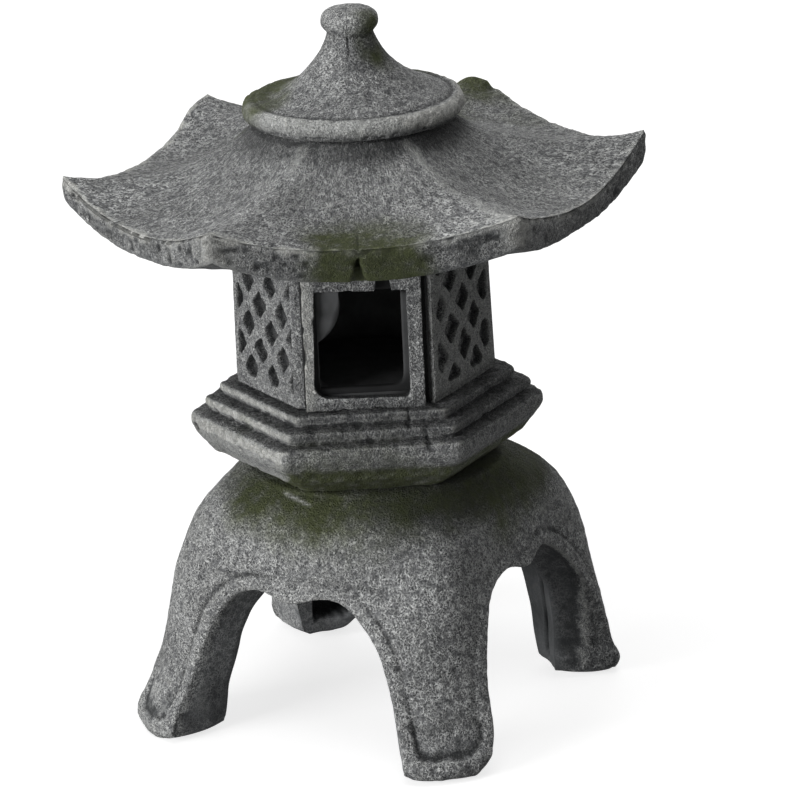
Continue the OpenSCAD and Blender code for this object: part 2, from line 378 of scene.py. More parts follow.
def cap_relief(p, n, channels):
    """Weathered all over but its seat, rougher and pitted on the bead, dented below the neck, and with a
    crack down the front of the neck."""
    y, z = p[:, 1], p[:, 2]
    reach = reach_of(p)
    free = rise(278.6, 280.2, z)
    crack = bell(turn_of(p) * reach, -0.6 + 0.5 * grain(p, 3, 71), 0.6)
    crack = crack * rise(307, 311, z) * (1 - rise(317, 319, z)) * (y < 0)
    dents = hollows(p, 4.6, 72, 0.2) * rise(301, 297, z)
    rough = (0.45 * layers(p, 5, 2, 73) - 0.9 * hollows(p, 2.6, 76, 0.2)) * rise(45, 48, reach)
    return (weathered(p, 3) * 0.8 + rough - 0.9 * crack - 0.4 * dents) * free


def cap_marks(p, n, channels, near, wide):
    """Worn on the knob and the bead, with a painted highlight on the bead that grows towards its shaded
    right side; painted shade below the bead, darker on the right; dirty in the crease behind the bead;
    darker on the right of the neck; mossy in patches."""
    x, y, z = p.T
    worn_and_highlit, dirt_and_shade = worn_marks(p, near, wide, 3)
    reach = np.hypot(x - CAP_SHIFT, y)
    bead = rise(46, 48, reach) * rise(280.5, 283, z)
    crease = bell(reach, 44.6, 1.7) * rise(287.2, 287.8, z) * blend(0.3, 1, rise(-46, -20, x))
    # painted shade below the bead, darker on the right
    below = rise(286, 280.5, z) * blend(0.35, 0.55, rise(0, 40, x))
    neck = rise(302, 306, z) * rise(320, 317, z) * rise(-10, 6, x)
    # the bead's pale wear is raised towards its shaded right side as a painted highlight
    return {"worn_and_highlit": worn_and_highlit * 0.8 + 0.25 * rise(318, 322, z) + bead * blend(0.64, 1.1, rise(5, 40, x)),
            "dirt_and_shade": dirt_and_shade * 0.8 + 0.4 * crease + below + 0.55 * neck,
            "moss": spots(p, CAP_MOSS) * (0.35 + patches(p, 9, 60))}


# roof: heights are above its seat on the light box

ROOF_R = 132.0
EAVE_Z = 25.5
TIP_LIFT = 12.5
SLOPE_Z = 50.5
SLOPE_R = 46.0
UNDER_R = 62.0
COLLAR_R = 40.0
COLLAR_Z = SLOPE_Z + 6.5
ROOF_COLUMNS = 600
# how much larger the roof was cast than drawn
ROOF_GROWN = 1.014
# how far the cast roof's own rim lies above or below the drawn one, and how thick it is, at the back and
# then at every twelfth of a turn over the left side, the front and the right side
RIM_LIFT = [1, 1.4, -2, -2.4, -1.6, 0.2, 1.8, 1.5, 0.6, 4.8, 4.6, 3]
RIM_THICK = [12, 12, 11, 11.2, 11.6, 14.2, 15, 15.6, 11, 13.4, 11, 12]
# swellings of the rim outwards and upwards: height in mm, turn and width in degrees
RIM_OUT = [(3.6, 31, 7), (-0.8, 90, 9)]
RIM_UP = [(4.0, -143.8, 5.2), (4.6, 154.4, 3.6), (-3.0, 149, 2)]
# patches of moss and of lime, with their heights above the ground
ROOF_MOSS = [(-12, -114, 239, 10, 1.1), (6, -114, 237, 11, 1.1), (20, -114, 238, 10, 1.0),
             (-12, -101, 249, 17, 0.75), (12, -101, 248, 17, 0.75), (58, 110, 260, 19, 1.4),
             (44, 66, 268, 16, 0.9), (80, 70, 262, 14, 0.5), (-50, 10, 270, 10, 0.5)]
ROOF_LIME = [(-66, -114, 252, 8, 1.5), (-62, -112, 246, 7, 0.9), (68, -117, 252, 8, 1.5),
             (60, -108, 257, 10, 0.35), (-84, -84, 246, 6, 0.4)]


def around(turn, values):
    """Value at a turn, from values given at even steps round the axis from the back over -X: neighbours
    are blended by 3t^2 - 2t^3."""
    place = (turn / TURN + 0.5) * len(values)
    low = np.floor(place).astype(int)
    v = np.array(values, float)
    return blend(v[low % len(v)], v[(low + 1) % len(v)], rise(0, 1, place - low))


def swellings(turn, places):
    """Sum of bells over the turn."""
    return sum(high * bell(turn, math.radians(at), math.radians(width)) for high, at, width in places)


def roof_grids():
    """Rows of rings from the socket on top, over the collar and the slope, round the edge and back under
    to the lower socket. On the slope the reach runs from the collar to the hexagon's edge by t, and the
    height from the collar to the eave by 1 - (1 - t)^q, with q 2 at mid side and 3 on a hip, and 3.4 mm
    higher at the collar, fading by (1 - t)^6. Up the slope the heights are averaged over 27 neighbouring
    turns, so that the hips are keen only at the tips. A channel gives the distance from the upper edge of
    the rim."""
    turn = np.linspace(-math.pi, math.pi, ROOF_COLUMNS, endpoint=False)
    along = np.abs(np.tan(from_mid_side(turn)) / math.tan(TURN / 12))
    edge = ROOF_R * C30 * ROOF_GROWN * hexagon(turn, 110) + swellings(turn, RIM_OUT)
    eave = EAVE_Z + TIP_LIFT * along ** 2.2 + around(turn, RIM_LIFT) + swellings(turn, RIM_UP)
    thick = around(turn, RIM_THICK)
    steep = blend(2, 3, along)

    def level(path):
        """Rings at the reaches and heights of a path."""
        return polar(turn, path[:, :1], path[:, 1:] + ROOF_Z)

    socket_r = CAP_TENON_R + FIT
    collar_r = COLLAR_R - 0.6
    socket_z = COLLAR_Z - SOCKET
    socket = [(0, socket_z), (socket_r, socket_z), (socket_r, COLLAR_Z), (collar_r, COLLAR_Z)]
    collar = [(collar_r, COLLAR_Z), (COLLAR_R + 1.4, COLLAR_Z - 0.9), (COLLAR_R + 4, SLOPE_Z + 4.7)]
    top = np.concatenate([corner_path(socket, 3)[:-1], corner_path(collar, 1)])
    t = np.linspace(0, 1, 94)[:, None] ** 0.92
    height = blend(SLOPE_Z, eave, 1 - (1 - t) ** steep) + 3.4 * (1 - t) ** 6
    soft = sum(np.roll(height, k, axis=1) for k in range(-13, 14)) / 27
    slope = polar(turn, blend(SLOPE_R, edge - 0.9, t), blend(soft, height, t ** 5) + ROOF_Z)
    drop = np.linspace(0, 1, 17)[:, None]
    inset = 0.9 * np.abs(2 * drop - 1) ** 5 + 0.6 * drop
    face = polar(turn, edge - inset, eave - 0.5 - (thick - 0.7) * drop + ROOF_Z)
    back = np.linspace(0, 1, 14)[:, None]
    below = polar(turn, blend(edge - 2.2, UNDER_R, back), blend(eave - thick, 0, back) + ROOF_Z)
    socket_r = BOX_TENON_R + FIT
    low = corner_path([(UNDER_R - 1.5, 0), (socket_r, 0), (socket_r, SOCKET), (0, SOCKET)], 5)
    rings = np.concatenate([level(top), slope, face, below, level(low)])
    from_rim = np.full(rings.shape[:2], FAR)
    slope_end = len(top) + len(t)
    from_rim[len(top):slope_end] = (1 - t) * (edge - SLOPE_R)
    from_rim[slope_end:slope_end + len(drop)] = drop * thick
    rings = tagged(rings, from_rim)
    return [np.concatenate([rings, rings[:, :1]], axis=1)[::-1]]


def roof_relief(p, n, channels):
    """Weathered all over but its seats, with strokes drawn down the slope, a crack and a notch at the
    middle of the front edge, and chips and pits along the rim."""
    x, y, z = p.T
    z = z - ROOF_Z
    reach = reach_of(p)
    turn = turn_of(p)
    free = rise(41, 47, reach) * (1 - rise(20, 21, UNDER_R - reach) * (z < 3))
    up = rise(0.2, 0.6, n[:, 2])
    side = steepness(n, 1.6)
    rim = rise(100, 110, reach)
    stroke = grain(np.stack([turn * 70, reach / 5.0, 0 * turn], 1), 1.0, 90)
    pecks = 0.13 * stroke * up + 0.08 * grain(p, 2.0, 91)
    crack = bell(turn * 112, -2.4 + 0.8 * grain(p, 4, 92), 0.8) * (y < 0) * rise(92, 101, reach) * up
    notch = rise(0.9, 0.2, np.abs(x + 2.6) / (0.7 + 0.3 * np.maximum(24 - z, 0)))
    notch = notch * (reach > 106) * (y < 0) * rise(24, 21, z)
    chips = hollows(p, 4.2, 94, 0) * rim * (0.5 + 0.9 * side)
    pits = hollows(p, 3.4, 95, 0.3) * side * rim
    return (weathered(p, 11) * 0.75 + pecks - 0.7 * crack - 6.5 * notch - 0.8 * chips - 0.8 * pits) * free


def roof_weave(p, n):
    """Fine grain, drawn out along the slope: there the turn is read on a circle of 105 mm, and reach and
    drop at 0.6 of their size."""
    reach = np.maximum(reach_of(p), 1e-3)
    drawn = np.stack([105 * p[:, 0] / reach, 105 * p[:, 1] / reach, 0.6 * (reach - p[:, 2])], 1)
    return np.where(((n[:, 2] > 0.35) & (reach > 44))[:, None], drawn, p * 1.1)


def roof_marks(p, n, channels, near, wide):
    """Pale in a ragged crust along the rim, most on the left, on the hips and in spots of lime, with a
    painted highlight on the upward slopes, most at the front right; painted shade in a ring below the cap,
    strongest on the right, round the collar, underneath and on the upper slope at the back left; dirty on
    the rim's face; mossy at the front edge and the back tips."""
    x, y, z = p.T
    reach = reach_of(p)
    turn = turn_of(p)
    local = from_mid_side(turn)
    worn_and_highlit, dirt_and_shade = worn_marks(p, near, wide, 11)
    patch = patches(p, 10, 61)
    up = rise(0.2, 0.6, n[:, 2])
    under = rise(0.0, -0.4, n[:, 2])
    rim = rise(-7, -1.5, reach - ROOF_R * C30 / np.cos(local))
    face = steepness(n, 1.6) * rim

    left = rise(10, -40, x)
    ragged = bell(channels[:, 0], 0.8 + 1.8 * grain(p, 3, 97), 1.3) * rise(-0.35, 0.1, layers(p, 6, 2, 98))
    crust = (0.5 * worn_and_highlit * rim + 1.7 * ragged) * blend(0.6, 1.9, left) + 0.12 * face * left
    hip = bell(reach * (TURN / 12 - np.abs(local)), 0.5 + 1.5 * grain(p, 6, 89), 2.4) * up
    hip = hip * rise(0, -20, y) * blend(rise(70, 50, reach), 1, rise(0, 30, x)) * rise(43, 46, reach)
    lime = spots(p, ROOF_LIME) * (0.4 + 0.8 * patch)
    streak = 0.5 + 0.5 * grain(np.stack([turn * 60, reach / 6, 0 * turn], 1), 1.0, 96)
    # painted highlight: the upward slopes lighter in streaks, most at the front right
    rubbed_and_highlit = (0.08 * streak + 0.12 * rise(20, 60, x) * rise(30, 0, y)) * up

    blotch = np.clip(layers(p, 9, 3, 99) + 0.1, 0, 1)
    # painted shade: the cap's shadow in a ring below it, the collar, the underside and the back left of
    # the upper slope; grime on the rim's face
    shade_and_soil = blend(0.5, 0.85, rise(-20, 30, x)) * bell(reach, 48, 5.5) * up
    shade_and_soil = shade_and_soil + (blend(0.45, 0.2, rise(0.3, 0.6, np.abs(n[:, 0]))) + 0.6 * blotch) * face
    shade_and_soil = shade_and_soil + 0.35 * under + 0.3 * rise(44.5, 42.5, reach) * (z > ROOF_Z + EAVE_Z + TIP_LIFT)
    shade_and_soil = shade_and_soil + 0.22 * up * rise(-30, -60, x) * rise(-20, 20, y)
    return {"worn_and_highlit": blend(0.4, 0.7, rise(75, 52, reach)) * hip + crust + lime + rubbed_and_highlit,
            "dirt_and_shade": dirt_and_shade + shade_and_soil * (1 - 0.7 * hip),
            "moss": spots(p, ROOF_MOSS) * (0.45 + patch),
            "inner": under * 0.6}


# platform: reach at a corner and height along its side, from the tenon over the tiers to the socket

PLATFORM_FOOT = [(0, BASE_H - TENON), (DECK_TENON_R, BASE_H - TENON), (DECK_TENON_R, BASE_H),
                 (50, BASE_H)]
PLATFORM_SIDE = [(59.4, BASE_H), (64.8, 122), (68.8, 124.2), (71.9, 126), (73.6, 128), (75.4, 130.2),
                 (77.8, 132.6), (80.4, 135.4), (81.8, 138.2), (81.9, 141.4), (81.2, 143.5),
                 (79.4, 144.3), (74.2, 144.5), (73.4, 145), (74.4, 145.8), (75.4, 146.6), (75.6, 148.6),
                 (74.9, 150.1), (73, 150.7), (67.2, 150.9), (66.4, 151.5), (67.4, 152.3), (68.1, 153.2),
                 (68.2, 155.1), (67.4, 156.2), (65, 156.4), (59, 155.8), (55, 155.8)]
PLATFORM_TOP = [(48, BOX_Z), (BOX_TENON_R + FIT, BOX_Z), (BOX_TENON_R + FIT, BOX_Z - SOCKET),
                (0, BOX_Z - SOCKET)]
PLATFORM_MOSS = [(-30, -62, 131, 14, 0.5), (-74, 0, 150, 8, 0.35), (-60, -34, 147, 9, 0.4),
                 (0, -70, 131, 30, 0.4)]
PLATFORM_COLUMNS = 481


def platform_grids():
    """The tiers' side carried round the axis: the reach is a hexagon's where a third value of the side is
    1 and round where it is 0. The tiers stand 0.7 mm to the right, lean up to the right by 0.9 %, and
    their underside hangs 0.9 mm lower on the left."""
    tiers = [(r, z, 1) for r, z in PLATFORM_SIDE]
    foot = corner_path([(r, z, 0) for r, z in PLATFORM_FOOT] + tiers[:1], 4)
    top = corner_path(tiers[-1:] + [(r, z, 0) for r, z in PLATFORM_TOP], 4)
    side = np.concatenate([foot[:-1], even_path(tiers, 0.5, 0.5), top[1:]])
    reach, height, cornered = (side[:, k, None] for k in range(3))
    turn = np.linspace(-math.pi, math.pi, PLATFORM_COLUMNS)
    p = polar(turn, reach * blend(1, C30 * hexagon(turn, 62), cornered), height)
    x, z = p[..., 0], p[..., 2]
    free = rise(50, 62, reach)
    x += 0.7 * rise(144, 146, height) * free
    z += 0.009 * rise(121, 128, height) * (1 - 0.7 * rise(144, 150, height)) * free * x
    z -= 0.9 * rise(-30, -60, x) * rise(119, 122, height) * rise(137, 132, height)
    return [p]


def platform_cracks(p):
    """1 in the two short cracks that run down the front of the tiers."""
    x, y, z = p.T
    upper = bell(x, 17.5 + 1.2 * grain(p, 3, 73), 0.7) * bell(z, 153, 3)
    lower = bell(x, 24 + 0.25 * (150 - z) + 1.6 * grain(p, 3, 74), 0.8) * bell(z, 145.5, 4)
    return (upper + lower) * (y < 0)


def platform_relief(p, n, channels):
    """Weathered and chipped all over but its seats, with the cracks and a pit at the left corner."""
    free = rise(50, 53, reach_of(p))
    pit = spots(p, [(-80, -5, 136.5, 2, 1)])
    chips = hollows(p, 5, 75, 0.15)
    return (weathered(p, 21) - 0.8 * chips - 0.9 * platform_cracks(p) - 2.4 * pit) * free


def platform_marks(p, n, channels, near, wide):
    """A painted highlight on the faces turned to the left; worn, in front, on the tiers' edges and
    underneath; dirty on the treads, in the cracks and in the pit; painted shade, with some grime, on the
    tiers' upright faces, most in front; mossy in a band round the underside that lies lower on the left."""
    x, y, z = p.T
    worn_and_highlit, dirt_and_shade = worn_marks(p, near, wide, 21)
    patch = patches(p, 10, 62)
    sheer = steepness(n, 1.3)
    front = rise(20, -20, y)
    # painted highlight on the faces turned to the left, laid on through the wear mark
    left = rise(-0.25, -0.6, n[:, 0]) * rise(-20, -45, x)
    tread = rise(0.55, 0.85, n[:, 2]) * rise(142, 144, z)
    # painted shade, with some grime, on the tiers' upright faces and on the front faces
    tiers = rise(144.6, 145.4, z) * (0.46 * sheer + 0.12 * front) * (1 - left)
    shade_and_soil = blend(0.55, 0.5, left) * tread + tiers + 0.1 * sheer * front * (1 - left)
    shade_and_soil = shade_and_soil + spots(p, [(-80, -5, 136, 2.6, 2)]) + platform_cracks(p)
    worn_and_highlit = worn_and_highlit * (1 + 0.8 * rise(142, 143.5, z) * front)
    band = rise(blend(135.4, 127, left), blend(130, 120, left), z + 1.5 * patch)
    return {"worn_and_highlit": worn_and_highlit + 1.3 * left * sheer + 0.4 * rise(132, 126, z) * front,
            "dirt_and_shade": dirt_and_shade * blend(1, 0.4, rise(128, 122, z)) + shade_and_soil,
            "moss": (band + spots(p, PLATFORM_MOSS)) * (0.5 + 0.6 * patch)}


# window frame and lattice panels: x to the right of a side's middle, z above the panels' foot

PANEL_W = 54.2
PANEL_H = 60.0
PANEL_T = 4.0
PANEL_Z = BOX_Z + 0.8
PANEL_BACK = 47.24
FRAME_BAR = 5.4
FRAME_OUTLINE = [(-27.9, -2.0), (25.9, -2.2), (25.9, PANEL_H), (-27.9, PANEL_H)]
FRAME_OPENING = [(-24, 4.1), (19.2, 3.1), (21.8, 52.6), (-21.8, 53.8)]
CELL_DEPTH = 3.4
PANEL_COLUMNS = 137
PANEL_ROWS = 155
# how far a slab reaches below its foot, and the plain borders beside, below and above the lattice
PANEL_BELOW = 1.6
SIDE_BORDER = 3.6
FOOT_BORDER = 4.6
HEAD_BORDER = 2.2


def on_side(turn, x, z, out):
    """Points on the side of the box that faces `turn`, `out` from the panels' back."""
    x, z, depth = np.broadcast_arrays(x, z, PANEL_BACK + out)
    c, s = math.cos(turn), math.sin(turn)
    return np.stack([x * c + depth * s, x * s - depth * c, z + PANEL_Z], -1)


def loop(corners, steps):
    """Closed run of points through four corners, `steps` to a side."""
    c = np.array(list(corners) + [corners[0]], float)
    u = np.linspace(0, 4, 4 * steps + 1)
    return np.stack([np.interp(u, np.arange(5), c[:, k]) for k in range(2)], 1)


def broken_out(p):
    """1 where a piece has broken out of the window's head, from x = 5 to 12 mm with ragged sides."""
    ragged = 1.3 * grain(p, 3.0, 78) + 0.9 * grain(p, 1.3, 80)
    return rise(4.6, 5.8, p[:, 0] + ragged) * rise(12.6, 10.8, p[:, 0] - ragged)


def frame_grids():
    """A rounded bar carried round the window: its section runs from the slab's outline to the opening's,
    and the opening's lower corners are drawn round, by moving what lies outside a circle back onto it.
    The slab leans out of square as the real one does."""
    outer = loop(FRAME_OUTLINE, 72)
    inner = loop(FRAME_OPENING, 72)
    foot_x, foot_z = zip(*FRAME_OPENING[:2])
    lowest = np.interp(inner[:, 0], foot_x, foot_z)
    for corner, radius, sign in [(foot_x[0], 7, -1), (foot_x[1], 3, 1)]:
        dx = np.maximum(sign * (inner[:, 0] - corner) + radius, 0)
        dz = np.maximum(lowest + radius - inner[:, 1], 0)
        far = np.maximum(np.hypot(dx, dz) / radius, 1)
        inner[:, 0] -= sign * dx * (1 - 1 / far)
        inner[:, 1] += dz * (1 - 1 / far)
    flat = np.stack([inner[:, 0], 0 * inner[:, 0], inner[:, 1]], 1)
    inner[:, 1] += 6.6 * broken_out(flat) * rise(48, 50, inner[:, 1])
    middle = FRAME_BAR / 2
    ring = [(middle, 0), (0, 0), (0, PANEL_T), (FRAME_BAR, PANEL_T), (FRAME_BAR, 0), (middle, 0)]
    ring = even_path(ring, 0.42, 0.42)
    share = ring[:, :1] / FRAME_BAR
    out = ring[:, 1:] / PANEL_T
    x = blend(outer[:, 0], inner[:, 0], share)
    z = blend(outer[:, 1], inner[:, 1], share)
    rear = np.clip(x, -27, 27)
    return [on_side(0, blend(rear, x, np.clip(out, 0, 1)), z, out * PANEL_T)]


def frame_relief(p, n, channels):
    """Weathered and dented, but flat at the back."""
    dents = hollows(p, 3.6, 76, 0.05)
    return (weathered(p, 31) * 0.7 - 0.75 * dents) * rise(47.6, 49, -p[:, 1])


def frame_marks(p, n, channels, near, wide):
    """A painted highlight down the left bar; painted shade inside the window, on the jamb that faces
    right, on the sill, in the broken head and along the foot; dirty in the left bar's pits."""
    x, y, z = p.T
    worn_and_highlit, dirt_and_shade = worn_marks(p, near, wide, 31)
    # painted shade inside the window, on the jamb, on the sill, in the broken head and along the foot
    deep = rise(-50.4, -48.6, y)
    jamb = rise(0.3, 0.7, n[:, 0]) * rise(-18, -20, x)
    sill = rise(0.3, 0.7, n[:, 2]) * rise(170, 166, z)
    window_shade = 0.8 * jamb + 1.0 * sill + 0.6 * deep * (1 - rise(0.3, 0.7, -n[:, 1]))
    gap = broken_out(p) * rise(206, 208, z)
    pits = hollows(p, 2.6, 79, 0.25) * rise(-20, -24, x)
    # painted highlight down the left bar
    return {"worn_and_highlit": worn_and_highlit * 0.6 + 0.95 * rise(-20, -25, x),
            "dirt_and_shade": dirt_and_shade * 0.6 + window_shade + 1.5 * gap + 0.3 * rise(161, 158, z) + 0.6 * pits,
            "inner": deep * 0.5 * (1 - sill) * (1 - jamb)}


def panel_grids(side, seed, cell, flare):
    """A slab with a field of blind diamonds: the front lies back by CELL_DEPTH where a cell is. With
    `cell` a diamond's middle and the steps across and up, and a and b the sloping coordinates x / across
    +- z / up, a cell is where (|a|^7 + |b|^7)^(1/7) < 0.3. The upright edges flare outwards by `flare` mm
    at the foot, left and right, and at the top by its third value as a share of that."""
    cell_x, cell_z, across, up = cell
    flare_left, flare_right, flare_top = flare
    half = PANEL_W / 2
    x = np.linspace(-half, half, PANEL_COLUMNS)
    z = np.linspace(-PANEL_BELOW, PANEL_H, PANEL_ROWS)[:, None]
    x, z = np.broadcast_arrays(x, z)
    flat = np.stack([x.ravel(), z.ravel(), np.full(x.size, seed * 50.0)], 1)

    def uneven(size, number):
        """Grain over the slab, of its own for each number."""
        return grain(flat, size, seed + number).reshape(x.shape)

    wx = (x + 1.1 * uneven(12, 0) + 0.5 * uneven(4, 1) - cell_x) / across
    wz = (z + 1.1 * uneven(12, 2) + 0.5 * uneven(4, 3) - cell_z) / up
    a = wx + wz - np.floor(wx + wz + 0.5)
    b = wx - wz - np.floor(wx - wz + 0.5)
    inside = (np.abs(a) ** 7 + np.abs(b) ** 7) ** (1 / 7) + 0.015 * uneven(2.2, 4)
    border = np.minimum(half - np.abs(x) - SIDE_BORDER, PANEL_H - HEAD_BORDER - z)
    border = np.minimum(border, z - FOOT_BORDER)
    sunk = rise(0.325, 0.28, inside) * rise(-0.4, 0.6, border)
    rim = np.minimum(np.minimum(half - np.abs(x), z), PANEL_H - z)
    front = PANEL_T - CELL_DEPTH * sunk - 0.6 * (1 - rise(0, 1.4, rim))
    wide = np.where(x < 0, -flare_left, flare_right) * rise(half - 7, half, np.abs(x))
    wide = wide * blend(1, flare_top, z / PANEL_H)
    face = on_side(side, x + wide, z, front)
    rear = on_side(side, x[::-1], z[::-1], 0)
    grids = [tagged(face, sunk), tagged(rear, 1.0)]
    down = np.linspace(0, 1, 5)[:, None]
    for cut in [np.s_[0, :], np.s_[:, -1], np.s_[-1, ::-1], np.s_[::-1, 0]]:
        grids.append(tagged(on_side(side, x[cut] + wide[cut] * down, z[cut], front[cut] * down), 0.0))
    return grids


def panel_relief(seed):
    """Weathered and dented on the bars, with the cells and the slab's sides left as they are."""
    def relief(p, n, channels):
        """Relief for this panel's seed."""
        bars = rise(0.2, 0.6, facing(p, n)) * (1 - channels[:, 0])
        dents = hollows(p, 3.4, seed + 6, 0.15)
        return (weathered(p, seed) * 0.7 + 0.12 * grain(p, 1.6, seed) - 0.5 * dents) * bars
    return relief


def panel_marks(seed):
    """Grimy, with painted shade, in the cells and painted shade on the slab's sides; on the right, where
    the
    slabs lie in shade, a painted highlight: paler bars and lighter cells.
    """
    def marks(p, n, channels, near, wide):
        """Marks for this panel's seed."""
        sunk = channels[:, 0]
        worn_and_highlit, dirt_and_shade = worn_marks(p, near, wide, seed)
        # painted highlight on the right, where the slabs lie in shade; painted shade on the slab's sides
        # and, with grime, in the cells
        right = rise(0, 20, p[:, 0])
        sides = 1 - rise(0.2, 0.6, facing(p, n))
        return {"worn_and_highlit": worn_and_highlit * 0.35 + 0.5 * right * (1 - sunk),
                "dirt_and_shade": dirt_and_shade * 0.4 + blend(0.9, 0.35, right) * sunk + 0.8 * sides}
    return marks


def lip_grids():
    """The uneven edge of the casting behind the window: a plate that fills the opening up to a hole.
    Along rays from the hole's middle, the hole reaches to a round boss at the upper left or to the right
    and lower edges, softened by the sum of inverse eighth powers, whichever is nearest. The plate reaches
    to the opening's own outline, and higher behind the broken head."""
    mid_z = 24.0
    half, foot, head = 21.6, 4.7, 53.3
    hole_right, hole_foot = 16.7, 7.4
    boss_x, boss_z, boss_r = -31.0, 47.2 - mid_z, 20.3
    angle = np.linspace(-math.pi, math.pi, 241)
    cx, cz = np.cos(angle), np.sin(angle)

    def to_edge(room, toward):
        """Length of a ray up to a straight edge that has `room` before it."""
        return room / np.maximum(toward, 1e-3)

    outer = np.minimum(np.minimum(to_edge(half, cx), to_edge(half, -cx)),
                       np.minimum(to_edge(head - mid_z, cz), to_edge(mid_z - foot, -cz)))
    near = boss_x * cx + boss_z * cz
    miss = boss_x ** 2 + boss_z ** 2 - near ** 2
    hit = near - np.sqrt(np.maximum(boss_r ** 2 - miss, 0))
    boss = np.where((miss < boss_r ** 2) & (near > 0), hit, 1e3)
    edges = to_edge(hole_right, cx) ** -8.0 + to_edge(mid_z - hole_foot, -cz) ** -8.0
    hole = np.minimum(np.minimum(edges ** (-1 / 8), boss), outer - 0.5)
    lean = cx / np.maximum(cz, 1e-3)
    outer = outer + 6 * rise(0.1, 0.14, lean) * rise(0.46, 0.42, lean) * (cz > 0.5)
    path = even_path([(0, -0.3), (0, 0.3), (1, 0.3), (1, -3), (0, -3), (0, -0.3)], 0.34, 0)
    far = blend(outer, hole, path[:, :1])
    return [on_side(0, far * cx, mid_z + far * cz, path[:, 1:])]


def lip_relief(p, n, channels):
    """Nearly smooth."""
    return 0.05 * grain(p, 5, 301)


def lip_marks(p, n, channels, near, wide):
    """Painted shade at the foot, on ledges, to the right and behind the broken head."""
    x, z = p[:, 0], p[:, 2]
    # painted shade over the whole lip, by place
    foot = rise(PANEL_Z + 16, PANEL_Z + 8, z)
    head = rise(PANEL_Z + 50, PANEL_Z + 52, z) * rise(0, 3, x)
    return {"dirt_and_shade": 0.95 * foot + 0.5 * rise(2, 14, x) * (1 - foot) + head + rise(0.3, 0.7, n[:, 2])}


# leg base

TOE_R = 116.0
SEAT_R = 59.0
HOLLOW_R = 80.0
HOLLOW_H = 94.0
LEG_TURN = math.radians(15)
# height of the band round a toe, middle and half length of a sole, width of the strip that borders an
# arch, depth of the pocket behind a leg, and how far the base stands to the right
TOE_Z = 13.0
SOLE_R = 97.0
SOLE_HALF = 18.5
STRIP = 8.4
POCKET = 11.0
BASE_SHIFT = 2.4
# outside and inside, as shares of their height and of their reach at the floor
BASE_SIDE = [(0, 0.968), (0.012, 0.985), (0.033, 0.997), (0.065, 1), (0.12, 0.971), (0.17, 0.947),
             (0.22, 0.926), (0.28, 0.902), (0.34, 0.886), (0.4, 0.875), (0.47, 0.863), (0.54, 0.852),
             (0.6, 0.841), (0.66, 0.823), (0.72, 0.8), (0.78, 0.771), (0.83, 0.738), (0.88, 0.69),
             (0.92, 0.638), (0.955, 0.583), (0.98, 0.54)]
HOLLOW_SIDE = [(0, 1), (0.25, 0.985), (0.5, 0.955), (0.62, 0.89), (0.73, 0.79), (0.86, 0.6), (0.94, 0.4),
               (0.985, 0.2), (1, 0)]
# how square the outside is, by share of its height
SQUARE = [(0, 2.6), (0.34, 3), (0.68, 6), (1, 2.1)]
# outline of an arch, in degrees from its middle and mm above the floor: the two that the window side
# shows, which were cast unevenly, and half of the drawn one
FRONT_LEFT_ARCH = [(-33.5, 0), (-32.4, 12), (-31, 26), (-29.2, 49), (-27.8, 60.5), (-25, 67.8), (-22, 72),
                   (-18, 73.8), (-13.5, 73.5), (-10.4, 72), (-7.5, 70), (-3.7, 69), (1, 70), (5.4, 72.4),
                   (10.2, 73.6), (15.6, 72.4), (19.2, 69.6), (22.8, 64.5), (25.1, 60), (27.8, 51),
                   (29.5, 41), (30.6, 31), (31.8, 14), (32.4, 0)]
FRONT_RIGHT_ARCH = [(-39.2, 0), (-37.9, 6), (-35.1, 14), (-34.7, 27), (-33.8, 40), (-32.2, 50),
                    (-30.6, 58), (-29, 65), (-26.2, 71), (-22.5, 74), (-17, 76.3), (-11, 76.4),
                    (-6, 74.2), (0, 71.5), (6, 75), (11, 77), (14, 77), (19.1, 73.5), (23.5, 66.6),
                    (27.1, 56.2), (30.4, 38.5), (32.5, 25.4), (34.5, 12.3), (35.8, 0)]
DRAWN_ARCH = [(35.8, 0), (34.5, 12.3), (32.5, 25.4), (30.4, 38.5), (28.5, 49.3), (27.1, 56.2),
              (25.4, 61.6), (23.5, 66.6), (21.4, 70.5), (19.1, 73.5), (16.5, 75.8), (13.8, 77),
              (11, 76.8), (8.2, 75.6), (3.7, 73.1), (0, 70)]
# mm to a degree on the wall, and the share of an arch's outline that belongs to each leg
DEGREE = 1.5
SIDE_SHARE = 0.36
ARCH_COLUMNS = 176
BASE_MOSS = [(-34, -60, 112, 17, 1.5), (-54, -40, 112, 15, 1.3), (-8, -74, 109, 20, 0.45),
             (20, -74, 112, 22, 0.25), (64, -50, 100, 15, 0.6), (52, -34, 112, 24, 0.6),
             (70, -8, 108, 20, 0.5)]
BASE_PALE = [(-30, -85, 86, 22, 0.26), (18, -98, 78, 24, -0.12)]


def rounded_square(turn, n):
    """Reach (|cos|^n + |sin|^n)^(-1/n) of a rounded square, as a share of its reach at the corner."""
    raw = (np.abs(np.cos(turn)) ** n + np.abs(np.sin(turn)) ** n) ** (-1 / n)
    return raw / (2 * 0.5 ** (n / 2)) ** (-1 / n)


def on_leg(p, x, y, low=0.5, high=0.8):
    """1 on the leg that stands towards (x, y): the cosine of the turn from there rises from low to
    high."""
    return rise(low, high, (p[..., 0] * x + p[..., 1] * y) / np.maximum(reach_of(p), 1))


